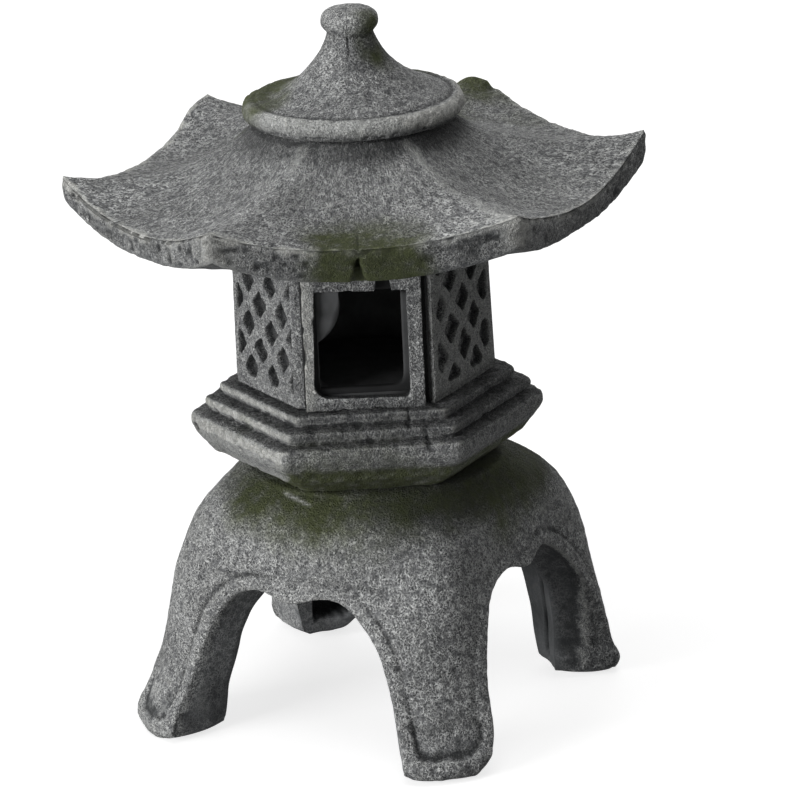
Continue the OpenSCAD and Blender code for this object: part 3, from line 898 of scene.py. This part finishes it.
def settle(p, middle, halves):
    """A quarter as it was cast, round an arch at turn `middle`, with legs whose half widths are `halves`
    in radians: soles rounded up by 4.4 mm towards their sides, where the cubic mean of the shares of half
    width and, by a third, half length passes 0.7, toes and heels pushed about by a few mm, and all but
    the hidden socket shifted to the right."""
    q = p.copy()
    x, y, z = (p[..., k] for k in range(3))
    reach = reach_of(p)
    turn = (turn_of(p) - middle + math.pi) % TURN - math.pi
    wide = (math.pi / 4 - np.abs(turn)) / np.where(turn < 0, halves[0], halves[1])
    share = (np.abs(wide) ** 3 + 0.35 * np.abs((reach - SOLE_R) / SOLE_HALF) ** 3) ** (1 / 3)
    left = on_leg(p, -1, 0)
    right = on_leg(p, 1, 0)
    back = on_leg(p, 0, 1)
    left_toe = left * rise(100, 112, reach)
    right_toe = right * rise(100, 116, reach)
    back_heel = back * (1 - rise(88, 110, reach))
    lift = 4.4 * rise(0.7, 1.25, share) + 0.5 * right_toe + (3.6 + 0.14 * (x + 22)) * back_heel
    lift = lift + 1.2 * right * rise(98, 84, reach)
    lift = lift * (1 - 0.8 * left * rise(-30, -14, y)) * (1 - 0.3 * left_toe)
    lift = lift + 3 * left * rise(92, 80, reach) * rise(0.8, 1, wide) * rise(-24, -30, y)
    q[..., 2] += lift * np.clip(1 - z / 18, 0, 1) ** 2
    hidden = rise(BASE_H - 14, BASE_H - 12, z) * (1 - rise(36, 56, reach))
    low_left = 3.4 * left * rise(98, 82, reach) + 4.4 * right_toe + 3.8 * back * rise(60, 76, reach)
    q[..., 0] += BASE_SHIFT * (1 - hidden) - low_left * (1 - rise(20, 45, z))
    q[..., 0] += 1.0 * rise(20, 70, x) * rise(12, 30, z) * rise(BASE_H, BASE_H - 10, z)
    q[..., 0] -= 2.0 * left * rise(104, 111, reach) * rise(6, 2.5, z)
    q[..., 0] += 3.0 * left_toe * rise(-71, -65, np.degrees(turn_of(p))) * rise(14, 5, z)
    q[..., 1] -= 6.8 * on_leg(p, 0, -1, 0.8, 0.95) * rise(102, 113, reach) * rise(24, 6, z)
    q[..., 1] -= 2.2 * right * rise(20, 8, z)
    return q


def quarter_grids(outline, middle):
    """The quarter round an arch. Its outside runs by v from the arch's edge to the middle of the legs and
    the seat; its inside does the same from the arch to the crown of the hollow, with a pocket behind each
    leg; the soffit joins their arch edges, and soles join the two at the floor. Channels give how far a
    point is inside, its distance from the arch's edge on the outside, and that distance on outside,
    soffit and sole."""
    path = even_path([(DEGREE * t, z) for t, z in outline], 0.6, 2.4)
    path[0] = (DEGREE * outline[0][0], 0)
    path[-1] = (DEGREE * outline[-1][0], 0)
    k = np.linspace(0, 1, ARCH_COLUMNS)
    even = np.linspace(0, 1, len(path))
    arch_turn = np.radians(np.interp(k, even, path[:, 0]) / DEGREE)
    arch_z = np.maximum(np.interp(k, even, path[:, 1]), 0)
    halves = (math.pi / 4 + arch_turn[0], math.pi / 4 - arch_turn[-1])

    side = [(r * TOE_R, z * BASE_H) for z, r in BASE_SIDE] + [(SEAT_R, BASE_H), (SEAT_R - 2, BASE_H)]
    toe = side[0]
    side = even_path(side, 0.5, 1.5)
    side[0] = toe
    hollow = even_path([(r * HOLLOW_R, z * HOLLOW_H) for z, r in HOLLOW_SIDE], 0.5, 4)
    hollow[0] = (HOLLOW_R, 0)
    hollow[-1] = (0, HOLLOW_H)

    def spread(profile):
        """Turn, reach and height by v from the arch's edge to the legs' middles and the end of a
        profile."""
        length = lengths(profile)
        climbing = np.maximum.accumulate(profile[:, 1]) + 1e-6 * np.arange(len(profile))
        edge = np.where(arch_z <= 0, 0, np.interp(arch_z, climbing, length))
        far_turn = (np.clip((k - SIDE_SHARE) / (1 - 2 * SIDE_SHARE), 0, 1) - 0.5) * math.pi / 2
        far = np.clip(np.minimum(k, 1 - k) / SIDE_SHARE, 0, 1) * length[-1]
        v = np.linspace(0, 1, 50)[:, None] ** 1.25
        t = blend(edge, far, v)
        turn = blend(arch_turn, far_turn, v)
        return turn, np.interp(t, length, profile[:, 0]), np.interp(t, length, profile[:, 1])

    turn, reach, z = spread(side)
    square = blend(table(SQUARE, z / BASE_H), 2, rise(0.98 * BASE_H, BASE_H, z))
    outside = polar(turn, reach * rounded_square(turn, square), z)
    turn, reach, z = spread(hollow)
    behind = np.abs(np.abs(turn) - math.pi / 4) * reach
    slot = blend(8.4, 3.2, rise(0.5, 0.8, np.sin(turn + middle)))
    slot = slot + 3.4 * rise(0.5, 0.8, -np.cos(turn + middle)) * (turn > 0)
    pocket = rise(slot, 0.6 * slot, behind) * rise(9, 13, z) * rise(60, 52, z)
    inside = polar(turn, blend(reach, HOLLOW_R + POCKET, pocket), z)
    down = np.linspace(0, 1, 13)[:, None, None] ** 1.7
    soffit = blend(outside[0], inside[0], down)
    rim = outside[-1][(k >= SIDE_SHARE - 1e-9) & (k <= 1 - SIDE_SHARE + 1e-9)]
    socket_r = DECK_TENON_R + FIT
    seat = [(SEAT_R - 2, BASE_H), (socket_r, BASE_H), (socket_r, BASE_H - SOCKET), (0, BASE_H - SOCKET)]
    seat = corner_path(seat, 4)
    crown = polar(turn_of(rim), seat[:, :1], seat[:, 1:])
    crown[0] = rim

    gap = np.min(np.linalg.norm(outside[:, :, None] - outside[0], axis=-1), axis=-1)
    fold = np.linalg.norm(soffit - outside[0], axis=-1)
    quarter = [tagged(outside, 0.0, gap, gap), tagged(inside[::-1], 1.0, FAR, FAR),
               tagged(soffit, 0.7 * rise(2, 9, fold), FAR, fold)[::-1]]
    for end, order in [(0, 1), (-1, -1)]:
        sole = blend(outside[:, end], inside[:, end], down)[::order]
        quarter.append(tagged(sole, 1.0, FAR, np.linalg.norm(sole - sole[:, :1], axis=-1)))
    quarter.append(tagged(crown, 0.0, FAR, FAR))
    c, s = math.cos(middle), math.sin(middle)
    spin = np.array([[c, -s, 0], [s, c, 0], [0, 0, 1]])
    return [np.concatenate([settle(g[..., :3] @ spin.T, middle, halves), g[..., 3:]], -1) for g in quarter]


def base_grids():
    """Four quarters round the arches at the front left, front right, back right and back left."""
    drawn = [(-t, z) for t, z in DRAWN_ARCH] + DRAWN_ARCH[-2::-1]
    grids = []
    for number, outline in enumerate([FRONT_LEFT_ARCH, FRONT_RIGHT_ARCH, drawn, drawn]):
        grids = grids + quarter_grids(outline, LEG_TURN + (number - 0.5) * math.pi / 2)
    return grids


def leg_pad(p, gap):
    """Distance in mm into the raised field of a leg or wall: -s ln(exp(-a / s) + exp(-b / s)), the
    softened lesser of a, the distance past the arch's border strip, and b, the height above the toe."""
    soft = 2.6
    toe = TOE_Z - 3 * rise(-60, -75, p[:, 0])
    return -soft * np.log(np.exp(-(gap - STRIP) / soft) + np.exp(-(p[:, 2] - toe) / soft))


def past_ridge(p, fold):
    """Distance in mm past the worn ridge that runs down the right leg's front reveal, 24 mm in from the
    arch's edge at the floor and nearing the edge by 0.42 mm for each mm of height."""
    return fold - np.maximum(24 - 0.42 * p[:, 2] + 1.6 * grain(p, 6, 88), 0.5)


def base_rounding(p, channels):
    """Full at the arches' edges and half at the soles, fading out within 5 mm, and less at the left
    toe."""
    z = p[:, 2]
    toe = on_leg(p, -1, 0) * rise(103, 111, reach_of(p)) * rise(14, 6, z)
    return np.maximum(1 - rise(1, 5, channels[:, 2]), 0.55 * rise(4, 1, z)) * (1 - 0.75 * toe)


def base_relief(p, n, channels):
    """Weathered all over but its seat and soles. On the outside a groove follows the arches' border
    strips and the toes, with the raised field falling off to it; it fades over the front arches and on
    the front leg. The toes stand proud and lumpy, and a ridge runs down the right leg's reveal."""
    inner, gap, fold = channels.T
    x, y, z = p.T
    skin = 1 - rise(0.2, 0.9, inner)
    free = np.where(z > 108, rise(50, 58, reach_of(p)), 1)
    pad = leg_pad(p, gap)
    turn = np.degrees(np.arctan2(x - BASE_SHIFT, -y))
    plain = rise(-54, -36, turn) * rise(-2, -14, turn) + rise(38, 52, turn) * rise(76, 60, turn)
    clear = 1 - plain * rise(58, 66, z)
    clear = clear * (1 - 0.55 * rise(17, 24, turn) * rise(46, 38, turn) * rise(16, 26, z))
    clear = clear * (1 + 0.7 * rise(-60, -66, turn) * rise(-76, -72, turn) * rise(14, 22, z))
    groove = bell(pad, -0.9, 1.7) * (0.75 + 0.5 * grain(p, 10, 77)) * clear
    end = rise(34, 14, z)
    fall = (1 - rise(-1, blend(4, 9, end), pad)) * rise(-3.5, -1, pad) * blend(0.5, 1.5, end) * clear
    carved = (-0.62 * groove - fall + 0.5 * rise(12.5, 9.5, z)) * (gap < FAR)
    ridge = bell(past_ridge(p, fold), 0, 2.2) * rise(75, 85, x) * rise(20, 10, y) * (gap >= FAR)
    rough = weathered(p, 41) * blend(0.35, 1.0, skin) + 0.9 * ridge
    lumps = 0.6 * layers(p, 7, 2, 79) * rise(14, 4, z)
    return (rough + (carved + lumps) * skin) * free * rise(-0.6, 0.8, z)


def base_marks(p, n, channels, near, wide):
    """Worn on edges, on the reveal's ridge and in a scratch on the crown, with a painted highlight on the
    left; painted shade with grime on the crown under the platform, most on the right; painted shade on the
    right leg's reveal and flank, on the right side, in the pockets and over the left toe; mossy on the
    crown; smooth inside, but for the reveal in front of the ridge and what the light reaches at the back
    leg."""
    inner, gap, fold = channels.T
    x, y, z = p.T
    worn_and_highlit, dirt_and_shade = worn_marks(p, near, wide, 41)
    patch = patches(p, 12, 63)
    pad = leg_pad(p, gap)
    past = past_ridge(p, fold)
    crown = rise(100, 113, z + 5 * layers(p, 16, 3, 64) + 0.06 * x)
    scratch = bell(z - 113.4 + 0.28 * (x + 32), 0, 0.9) * rise(-42, -39, x) * rise(-26, -29, x) * (y < -40)
    reveal = rise(0.1, 0.4, inner)
    flank = rise(70, 82, x) * rise(25, 15, y) * (gap >= FAR) * rise(30, 26, fold)
    ridge = bell(past, 0, 1.5) * flank * (0.6 + 0.8 * patch)
    pocket = (inner > 0.9) * (fold >= FAR) * rise(HOLLOW_R + 0.5, HOLLOW_R + 4, reach_of(p))
    left_toe = bell(pad, 1.5, 2.6) * rise(24, 14, z) * rise(-70, -90, x) * (1 - inner)
    # painted shade on the right leg's reveal, flank and right side, in the pockets and above the left toe;
    # grime and painted shade on the crown, most on the right
    shade_and_soil = spots(p, [(2, -70, 109, 23, 0.35)]) + 0.42 * rise(55, 75, x) * reveal * (1 - flank)
    shade_and_soil = shade_and_soil + flank * blend(0.4, 0.78, rise(0, 3, past)) * (1 - 0.6 * np.clip(ridge, 0, 1))
    shade_and_soil = shade_and_soil + 0.12 * rise(75, 95, x) * (1 - reveal) + 0.85 * pocket + 0.5 * left_toe
    shade_and_soil = shade_and_soil + crown * blend(0.25, 1.05, rise(-30, 50, x))
    # wear and pale patches, with a painted highlight on the left
    rubbed_and_highlit = worn_and_highlit * 0.75 * (1 - 0.65 * rise(14, 9, z)) + 0.22 * rise(10, -50, x) + spots(p, BASE_PALE)
    moss = (0.6 * crown + spots(p, BASE_MOSS)) * (0.35 + 0.8 * patch)
    lit = spots(p, [(-40, 87, 18, 20, 0.4)])
    field_end = bell(pad, 1.0, 3.0) * rise(26, 14, z) * (1 - inner)
    return {"worn_and_highlit": rubbed_and_highlit * (1 - 0.8 * crown) + scratch + 0.4 * ridge,
            "dirt_and_shade": (dirt_and_shade + shade_and_soil) * (1 - 0.9 * scratch),
            "moss": moss * (1 - 0.8 * scratch),
            "inner": np.clip(inner - lit - flank * rise(3, 0, past), 0, 1) + 0.45 * field_end}


# materials

# sizes in mm of the cast stone's patterns; real grit is about half a millimetre, too fine to show, so
# grit and its threads are drawn two to three times as coarse
GRIT = 0.8
THREAD = 1.35
THREAD_BEND = 1.3
THREAD_BREAK = 3.0
CLUMP = 5.0
STAIN = 26.0
BLOTCH = 9.0


def paint(hex_colour):
    """sRGB hex colour as linear RGBA."""
    part = [int(hex_colour[i:i + 2], 16) / 255 for i in (1, 3, 5)]
    return tuple(c / 12.92 if c <= 0.04045 else ((c + 0.055) / 1.055) ** 2.4 for c in part) + (1.0,)


def add(tree, kind, inputs=(), take=0, **settings):
    """Adds a node with its settings, sets or links its inputs, which are listed in order or by name, and
    gives its output `take`."""
    node = tree.nodes.new("ShaderNode" + kind)
    for key, value in settings.items():
        setattr(node, key, value)
    for key, value in inputs.items() if isinstance(inputs, dict) else enumerate(inputs):
        if isinstance(value, bpy.types.NodeSocket):
            tree.links.new(value, node.inputs[key])
        else:
            node.inputs[key].default_value = value
    return node.outputs[take] if node.outputs else None


def in_mm(tree):
    """Object coordinates in millimetres."""
    where = add(tree, "TexCoord", take="Object")
    return add(tree, "Mapping", {"Vector": where, "Scale": (1 / MM, 1 / MM, 1 / MM)})


def cast_stone(name, dark, mid, light, worn_and_highlit, chalk, inner, dirt_and_shade, moss, thick_moss):
    """Cast concrete stone, cured rough and dry-brushed: a grey matrix with pale threads of grit round dark
    pores, paler, and chalky where it is heaviest, under the worn_and_highlit mark of wear and painted
    highlights, plain where the mould was smooth, near black under the dirt_and_shade mark of settled grime
    and painted shade, and olive where moss has stained it."""
    material = bpy.data.materials.new(name)
    material.use_nodes = True
    tree = material.node_tree
    shader = tree.nodes["Principled BSDF"]
    mm = in_mm(tree)
    marks = {mark: add(tree, "Attribute", take="Fac", attribute_name=mark) for mark in MARKS}
    weave = add(tree, "Attribute", take="Vector", attribute_name="weave")
    lumps = {}
    for size, where, detail, roughness in [(THREAD_BREAK, weave, 2.0, 0.6), (GRIT, weave, 2.0, 0.6),
                                           (CLUMP, mm, 3.0, 0.55), (STAIN, mm, 3.0, 0.55)]:
        lumps[size] = add(tree, "TexNoise", {"Vector": where, "Scale": 1 / size, "Detail": detail,
                                             "Roughness": roughness})
    # broken threads of grit run along the borders of bent cells
    bend = add(tree, "TexNoise", {"Vector": weave, "Scale": 1 / THREAD_BEND, "Detail": 1.0,
                                  "Roughness": 0.5}, "Color")
    bend = add(tree, "VectorMath", [bend, (0.5, 0.5, 0.5)], operation="SUBTRACT")
    bend = add(tree, "VectorMath", {0: bend, "Scale": 2.2}, operation="SCALE")
    bent = add(tree, "VectorMath", [weave, bend], operation="ADD")
    border = add(tree, "TexVoronoi", {"Vector": bent, "Scale": 1 / THREAD}, "Distance",
                 feature="DISTANCE_TO_EDGE")
    thread = add(tree, "MapRange", [border, 0.02, 0.2, 1.0, 0.0])
    broken = add(tree, "MapRange", [lumps[THREAD_BREAK], 0.36, 0.6, 0.0, 1.0])
    thread = add(tree, "Math", [thread, broken], operation="MULTIPLY")
    level = add(tree, "Math", [lumps[GRIT], 0.62], operation="MULTIPLY")
    for part, weight in [(lumps[CLUMP], 0.22), (thread, 0.6)]:
        part = add(tree, "Math", [part, weight], operation="MULTIPLY")
        level = add(tree, "Math", [level, part], operation="ADD")
    matrix = add(tree, "ValToRGB", [level], "Color")
    bands = matrix.node.color_ramp.elements
    bands[0].position = 0.31
    bands[0].color = paint(dark)
    bands[1].position = 0.84
    bands[1].color = paint(light)
    bands.new(0.46).color = paint(mid)
    shade = add(tree, "MapRange", [lumps[STAIN], 0.3, 0.7, 0.82, 1.16])
    paler = add(tree, "MapRange", [marks["worn_and_highlit"], 0.0, 1.0, 1.0, 1.5])
    shade = add(tree, "Math", [shade, paler], operation="MULTIPLY")
    colour = add(tree, "VectorMath", {0: matrix, "Scale": shade}, operation="SCALE")
    # pale wear and painted highlights from the worn_and_highlit mark
    rubbed_and_highlit = add(tree, "Math", [marks["worn_and_highlit"], level], operation="MULTIPLY")
    rubbed_and_highlit = add(tree, "MapRange", [rubbed_and_highlit, 0.10, 0.46, 0.0, 0.72])
    bare = add(tree, "MapRange", [marks["worn_and_highlit"], 0.75, 1.0, 0.0, 1.0])
    bare = add(tree, "Math", [bare, level], operation="MULTIPLY")
    bare = add(tree, "MapRange", [bare, 0.3, 0.7, 0.0, 0.6])
    plain = add(tree, "Math", [marks["inner"], 0.92], operation="MULTIPLY")
    # settled grime and painted shade from the dirt_and_shade mark
    soiled_and_shaded = add(tree, "Math", [marks["dirt_and_shade"], 0.88], operation="MULTIPLY")
    green = add(tree, "Math", [lumps[CLUMP], 0.1], operation="ADD")
    green = add(tree, "Math", [marks["moss"], green], operation="MULTIPLY")
    green = add(tree, "MapRange", [green, 0.08, 0.62, 0.0, 0.92])
    dense = add(tree, "Math", [green, 0.7], operation="MULTIPLY")
    for share, over, way in [(rubbed_and_highlit, worn_and_highlit, "MIX"), (bare, chalk, "MIX"), (plain, inner, "MIX"),
                             (soiled_and_shaded, dirt_and_shade, "MIX"), (green, moss, "MULTIPLY"), (dense, thick_moss, "MIX")]:
        colour = add(tree, "MixRGB", [share, colour, paint(over)], blend_type=way)
    tree.links.new(colour, shader.inputs["Base Color"])
    shader.inputs["Roughness"].default_value = 0.92
    shader.inputs["Specular IOR Level"].default_value = 0.25
    coarse = add(tree, "Math", [1.0, plain], operation="SUBTRACT")
    bump = add(tree, "Bump", {"Height": level, "Strength": coarse, "Distance": 1.5 * MM})
    tree.links.new(bump, shader.inputs["Normal"])
    return material


def smooth_stone(name, colour, floor, joint):
    """Cast stone from a smooth mould, in the dark lamp room: a dull grey with faint blotches, darkened by
    the dirt_and_shade mark, darker within 16 mm above the height `floor`, and with painted shade farther
    than
    `joint` from the axis, where the lamp room shows in the gaps between the slabs."""
    material = bpy.data.materials.new(name)
    material.use_nodes = True
    tree = material.node_tree
    shader = tree.nodes["Principled BSDF"]
    mm = in_mm(tree)
    blotch = add(tree, "TexNoise", {"Vector": mm, "Scale": 1 / BLOTCH, "Detail": 4.0, "Roughness": 0.5})
    dirt_and_shade = add(tree, "Attribute", take="Fac", attribute_name="dirt_and_shade")
    height = add(tree, "SeparateXYZ", [mm], "Z")
    flat = add(tree, "VectorMath", [mm, (1, 1, 0)], operation="MULTIPLY")
    reach = add(tree, "VectorMath", [flat], "Value", operation="LENGTH")
    tone = add(tree, "MapRange", [blotch, 0.3, 0.7, 0.75, 1.2])
    # darkened by the dirt_and_shade mark and near the floor, with painted shade beyond joint
    for ranged in ([dirt_and_shade, 0.0, 1.0, 1.0, 0.1], [height, floor + 4, floor + 16, 0.3, 1.0],
                   [reach, joint, joint + 3, 1.0, 0.15]):
        tone = add(tree, "Math", [tone, add(tree, "MapRange", ranged)], operation="MULTIPLY")
    tint = add(tree, "VectorMath", {0: paint(colour)[:3], "Scale": tone}, operation="SCALE")
    tree.links.new(tint, shader.inputs["Base Color"])
    shader.inputs["Roughness"].default_value = 0.9
    shader.inputs["Specular IOR Level"].default_value = 0.2
    bump = add(tree, "Bump", {"Height": blotch, "Strength": 0.5, "Distance": 0.6 * MM})
    tree.links.new(bump, shader.inputs["Normal"])
    return material


rough_stone = cast_stone("weathered_cast_stone", dark="#353637", mid="#6f7071", light="#d5d6d5",
                         worn_and_highlit="#bbbcb9", chalk="#dddcd6", inner="#606264", dirt_and_shade="#1c1e1f", moss="#8e9660",
                         thick_moss="#3f452a")
room_stone = smooth_stone("smooth_dark_cast_stone", "#6e6f70", BOX_Z, 48)
lip_stone = smooth_stone("smooth_grey_cast_stone", "#595a5b", BOX_Z - 20, 80)

# pieces

add_piece("finial_cap_stone", "finial_cap", "cap", cap_grids(), cap_relief, cap_marks,
          rough_stone)
add_piece("roof_stone", "roof", "roof", roof_grids(), roof_relief, roof_marks, rough_stone,
          roof_weave)
add_piece("platform_stone", "platform", "deck", platform_grids(), platform_relief,
          platform_marks, rough_stone, fine_weave)
add_piece("leg_base_stone", "leg_base", "base", base_grids(), base_relief, base_marks,
          rough_stone, coarse_weave, base_rounding)
add_piece("window_frame_slab", "window_frame", "chamber", frame_grids(), frame_relief,
          frame_marks, rough_stone, fine_weave)
add_piece("lamp_room_lip", None, "chamber", lip_grids(), lip_relief, lip_marks,
          lip_stone)
# the lattice panels' places and turns, the middle and steps of their diamonds, and how their edges flare
for number, (place, degrees, cell, flare) in enumerate([
        ("front_left", -60, (4.2, 29.5, 18.6, 21.4), (2.4, -3, 0.62)),
        ("front_right", 60, (-9.3, 29.3, 21.0, 22.4), (0, 4.6, 0.35)),
        ("back_left", -120, (0, 29.5, 18.6, 21.4), (0, 2.4, 0.35)),
        ("back_right", 120, (0, 29.5, 18.6, 21.4), (0.4, 0, 0.35)),
        ("back", 180, (0, 29.5, 18.6, 21.4), (0, 0, 0.35))]):
    seed = 200 + 10 * number
    grids = panel_grids(math.radians(degrees), seed, cell, flare)
    add_piece("lattice_slab_" + place, "lattice_" + place, "chamber", grids,
              panel_relief(seed), panel_marks(seed), rough_stone, fine_weave)
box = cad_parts["light_box"]
box.data.materials.clear()
box.data.materials.append(room_stone)

# stage: floor, light and camera

FLOOR_Z = -0.0002
FLOOR_HALF = 9


def seen_rays(tree):
    """1 for the rays that reach the eye, straight or by way of gloss or glass."""
    seen = add(tree, "LightPath", take="Is Camera Ray")
    rays = seen.node.outputs
    for way in ("Is Glossy Ray", "Is Transmission Ray"):
        seen = add(tree, "Math", [seen, rays[way]], operation="MAXIMUM")
    return seen


def floor_paint():
    """Matt white board: seen as white with the lantern's soft shadow, and as mid grey by the light that
    it throws back."""
    material = bpy.data.materials.new("matt_white_board")
    material.use_nodes = True
    tree = material.node_tree
    tree.nodes.clear()
    white = add(tree, "BsdfDiffuse", {"Color": paint("#fbfbfb")})
    grey = add(tree, "BsdfDiffuse", {"Color": paint("#8a8a8a")})
    glow = add(tree, "Emission", {"Color": paint("#ffffff"), "Strength": 1.5})
    lit = add(tree, "MixShader", [0.5, white, glow])
    mix = add(tree, "MixShader", [seen_rays(tree), grey, lit])
    add(tree, "OutputMaterial", {"Surface": mix})
    return material


floor_mesh = bpy.data.meshes.new("floor")
corners = [(FLOOR_HALF * x, FLOOR_HALF * y, FLOOR_Z) for x, y in [(-1, -1), (1, -1), (1, 1), (-1, 1)]]
floor_mesh.from_pydata(corners, [], [(0, 1, 2, 3)])
floor_mesh.materials.append(floor_paint())
floor = bpy.data.objects.new("floor", floor_mesh)
bpy.context.scene.collection.objects.link(floor)


def direction(turn, climb):
    """Unit vector from the lantern at a turn and a climb in degrees."""
    a, e = math.radians(turn), math.radians(climb)
    return Vector((math.sin(a) * math.cos(e), -math.cos(a) * math.cos(e), math.sin(e)))


def area_light(name, turn, climb, distance, size, watts):
    """Square soft box aimed at the middle of the lantern from a turn and a climb in degrees."""
    lamp = bpy.data.lights.new(name, "AREA")
    lamp.size = size
    lamp.energy = watts
    obj = bpy.data.objects.new(name, lamp)
    aim = Vector((0, 0, 0.17))
    place = aim + distance * direction(turn, climb)
    obj.location = place
    obj.rotation_euler = (aim - place).to_track_quat("-Z", "Y").to_euler()
    bpy.context.scene.collection.objects.link(obj)


area_light("key", turn=-57, climb=9, distance=2.2, size=1.2, watts=52)
area_light("top", turn=0, climb=80, distance=2.4, size=1.8, watts=26)
area_light("back", turn=172, climb=20, distance=2.4, size=1.6, watts=16)

world = bpy.data.worlds.new("studio")
bpy.context.scene.world = world
world.use_nodes = True
sky = world.node_tree
sky.nodes.clear()
dim = add(sky, "Background", {"Color": paint("#ffffff"), "Strength": 0.2})
white = add(sky, "Background", {"Color": paint("#ffffff"), "Strength": 1.0})
add(sky, "OutputWorld", {"Surface": add(sky, "MixShader", [seen_rays(sky), dim, white])})

# long lens, looking down 17.8 degrees and leaned 2.7 degrees as in the photograph; its focal length is in
# pixels of the photograph, and its aim lies to the right of and below the lantern's middle, in metres
VIEW_TURN = -1.16
VIEW_CLIMB = 17.84
VIEW_LEAN = math.radians(-2.73)
VIEW_DISTANCE = 2.600
VIEW_RIGHT = 0.01525
VIEW_DOWN = 0.02103
FOCAL = 5685
PHOTO_W = 800
away = direction(VIEW_TURN, VIEW_CLIMB)
level = (-away).cross(Vector((0, 0, 1))).normalized()
rising = level.cross(-away)
place = Vector((0, 0, 0.165)) + level * VIEW_RIGHT - rising * VIEW_DOWN + away * VIEW_DISTANCE
right = level * math.cos(VIEW_LEAN) + rising * math.sin(VIEW_LEAN)
up = rising * math.cos(VIEW_LEAN) - level * math.sin(VIEW_LEAN)
lens = bpy.data.cameras.new("camera")
lens.sensor_width = 36
lens.lens = lens.sensor_width * FOCAL / PHOTO_W
lens.clip_end = 60
camera = bpy.data.objects.new("camera", lens)
camera.matrix_world = Matrix(((right.x, up.x, away.x, place.x), (right.y, up.y, away.y, place.y),
                              (right.z, up.z, away.z, place.z), (0, 0, 0, 1)))
bpy.context.scene.collection.objects.link(camera)
bpy.context.scene.camera = camera
bpy.context.scene.view_settings.view_transform = "Standard"
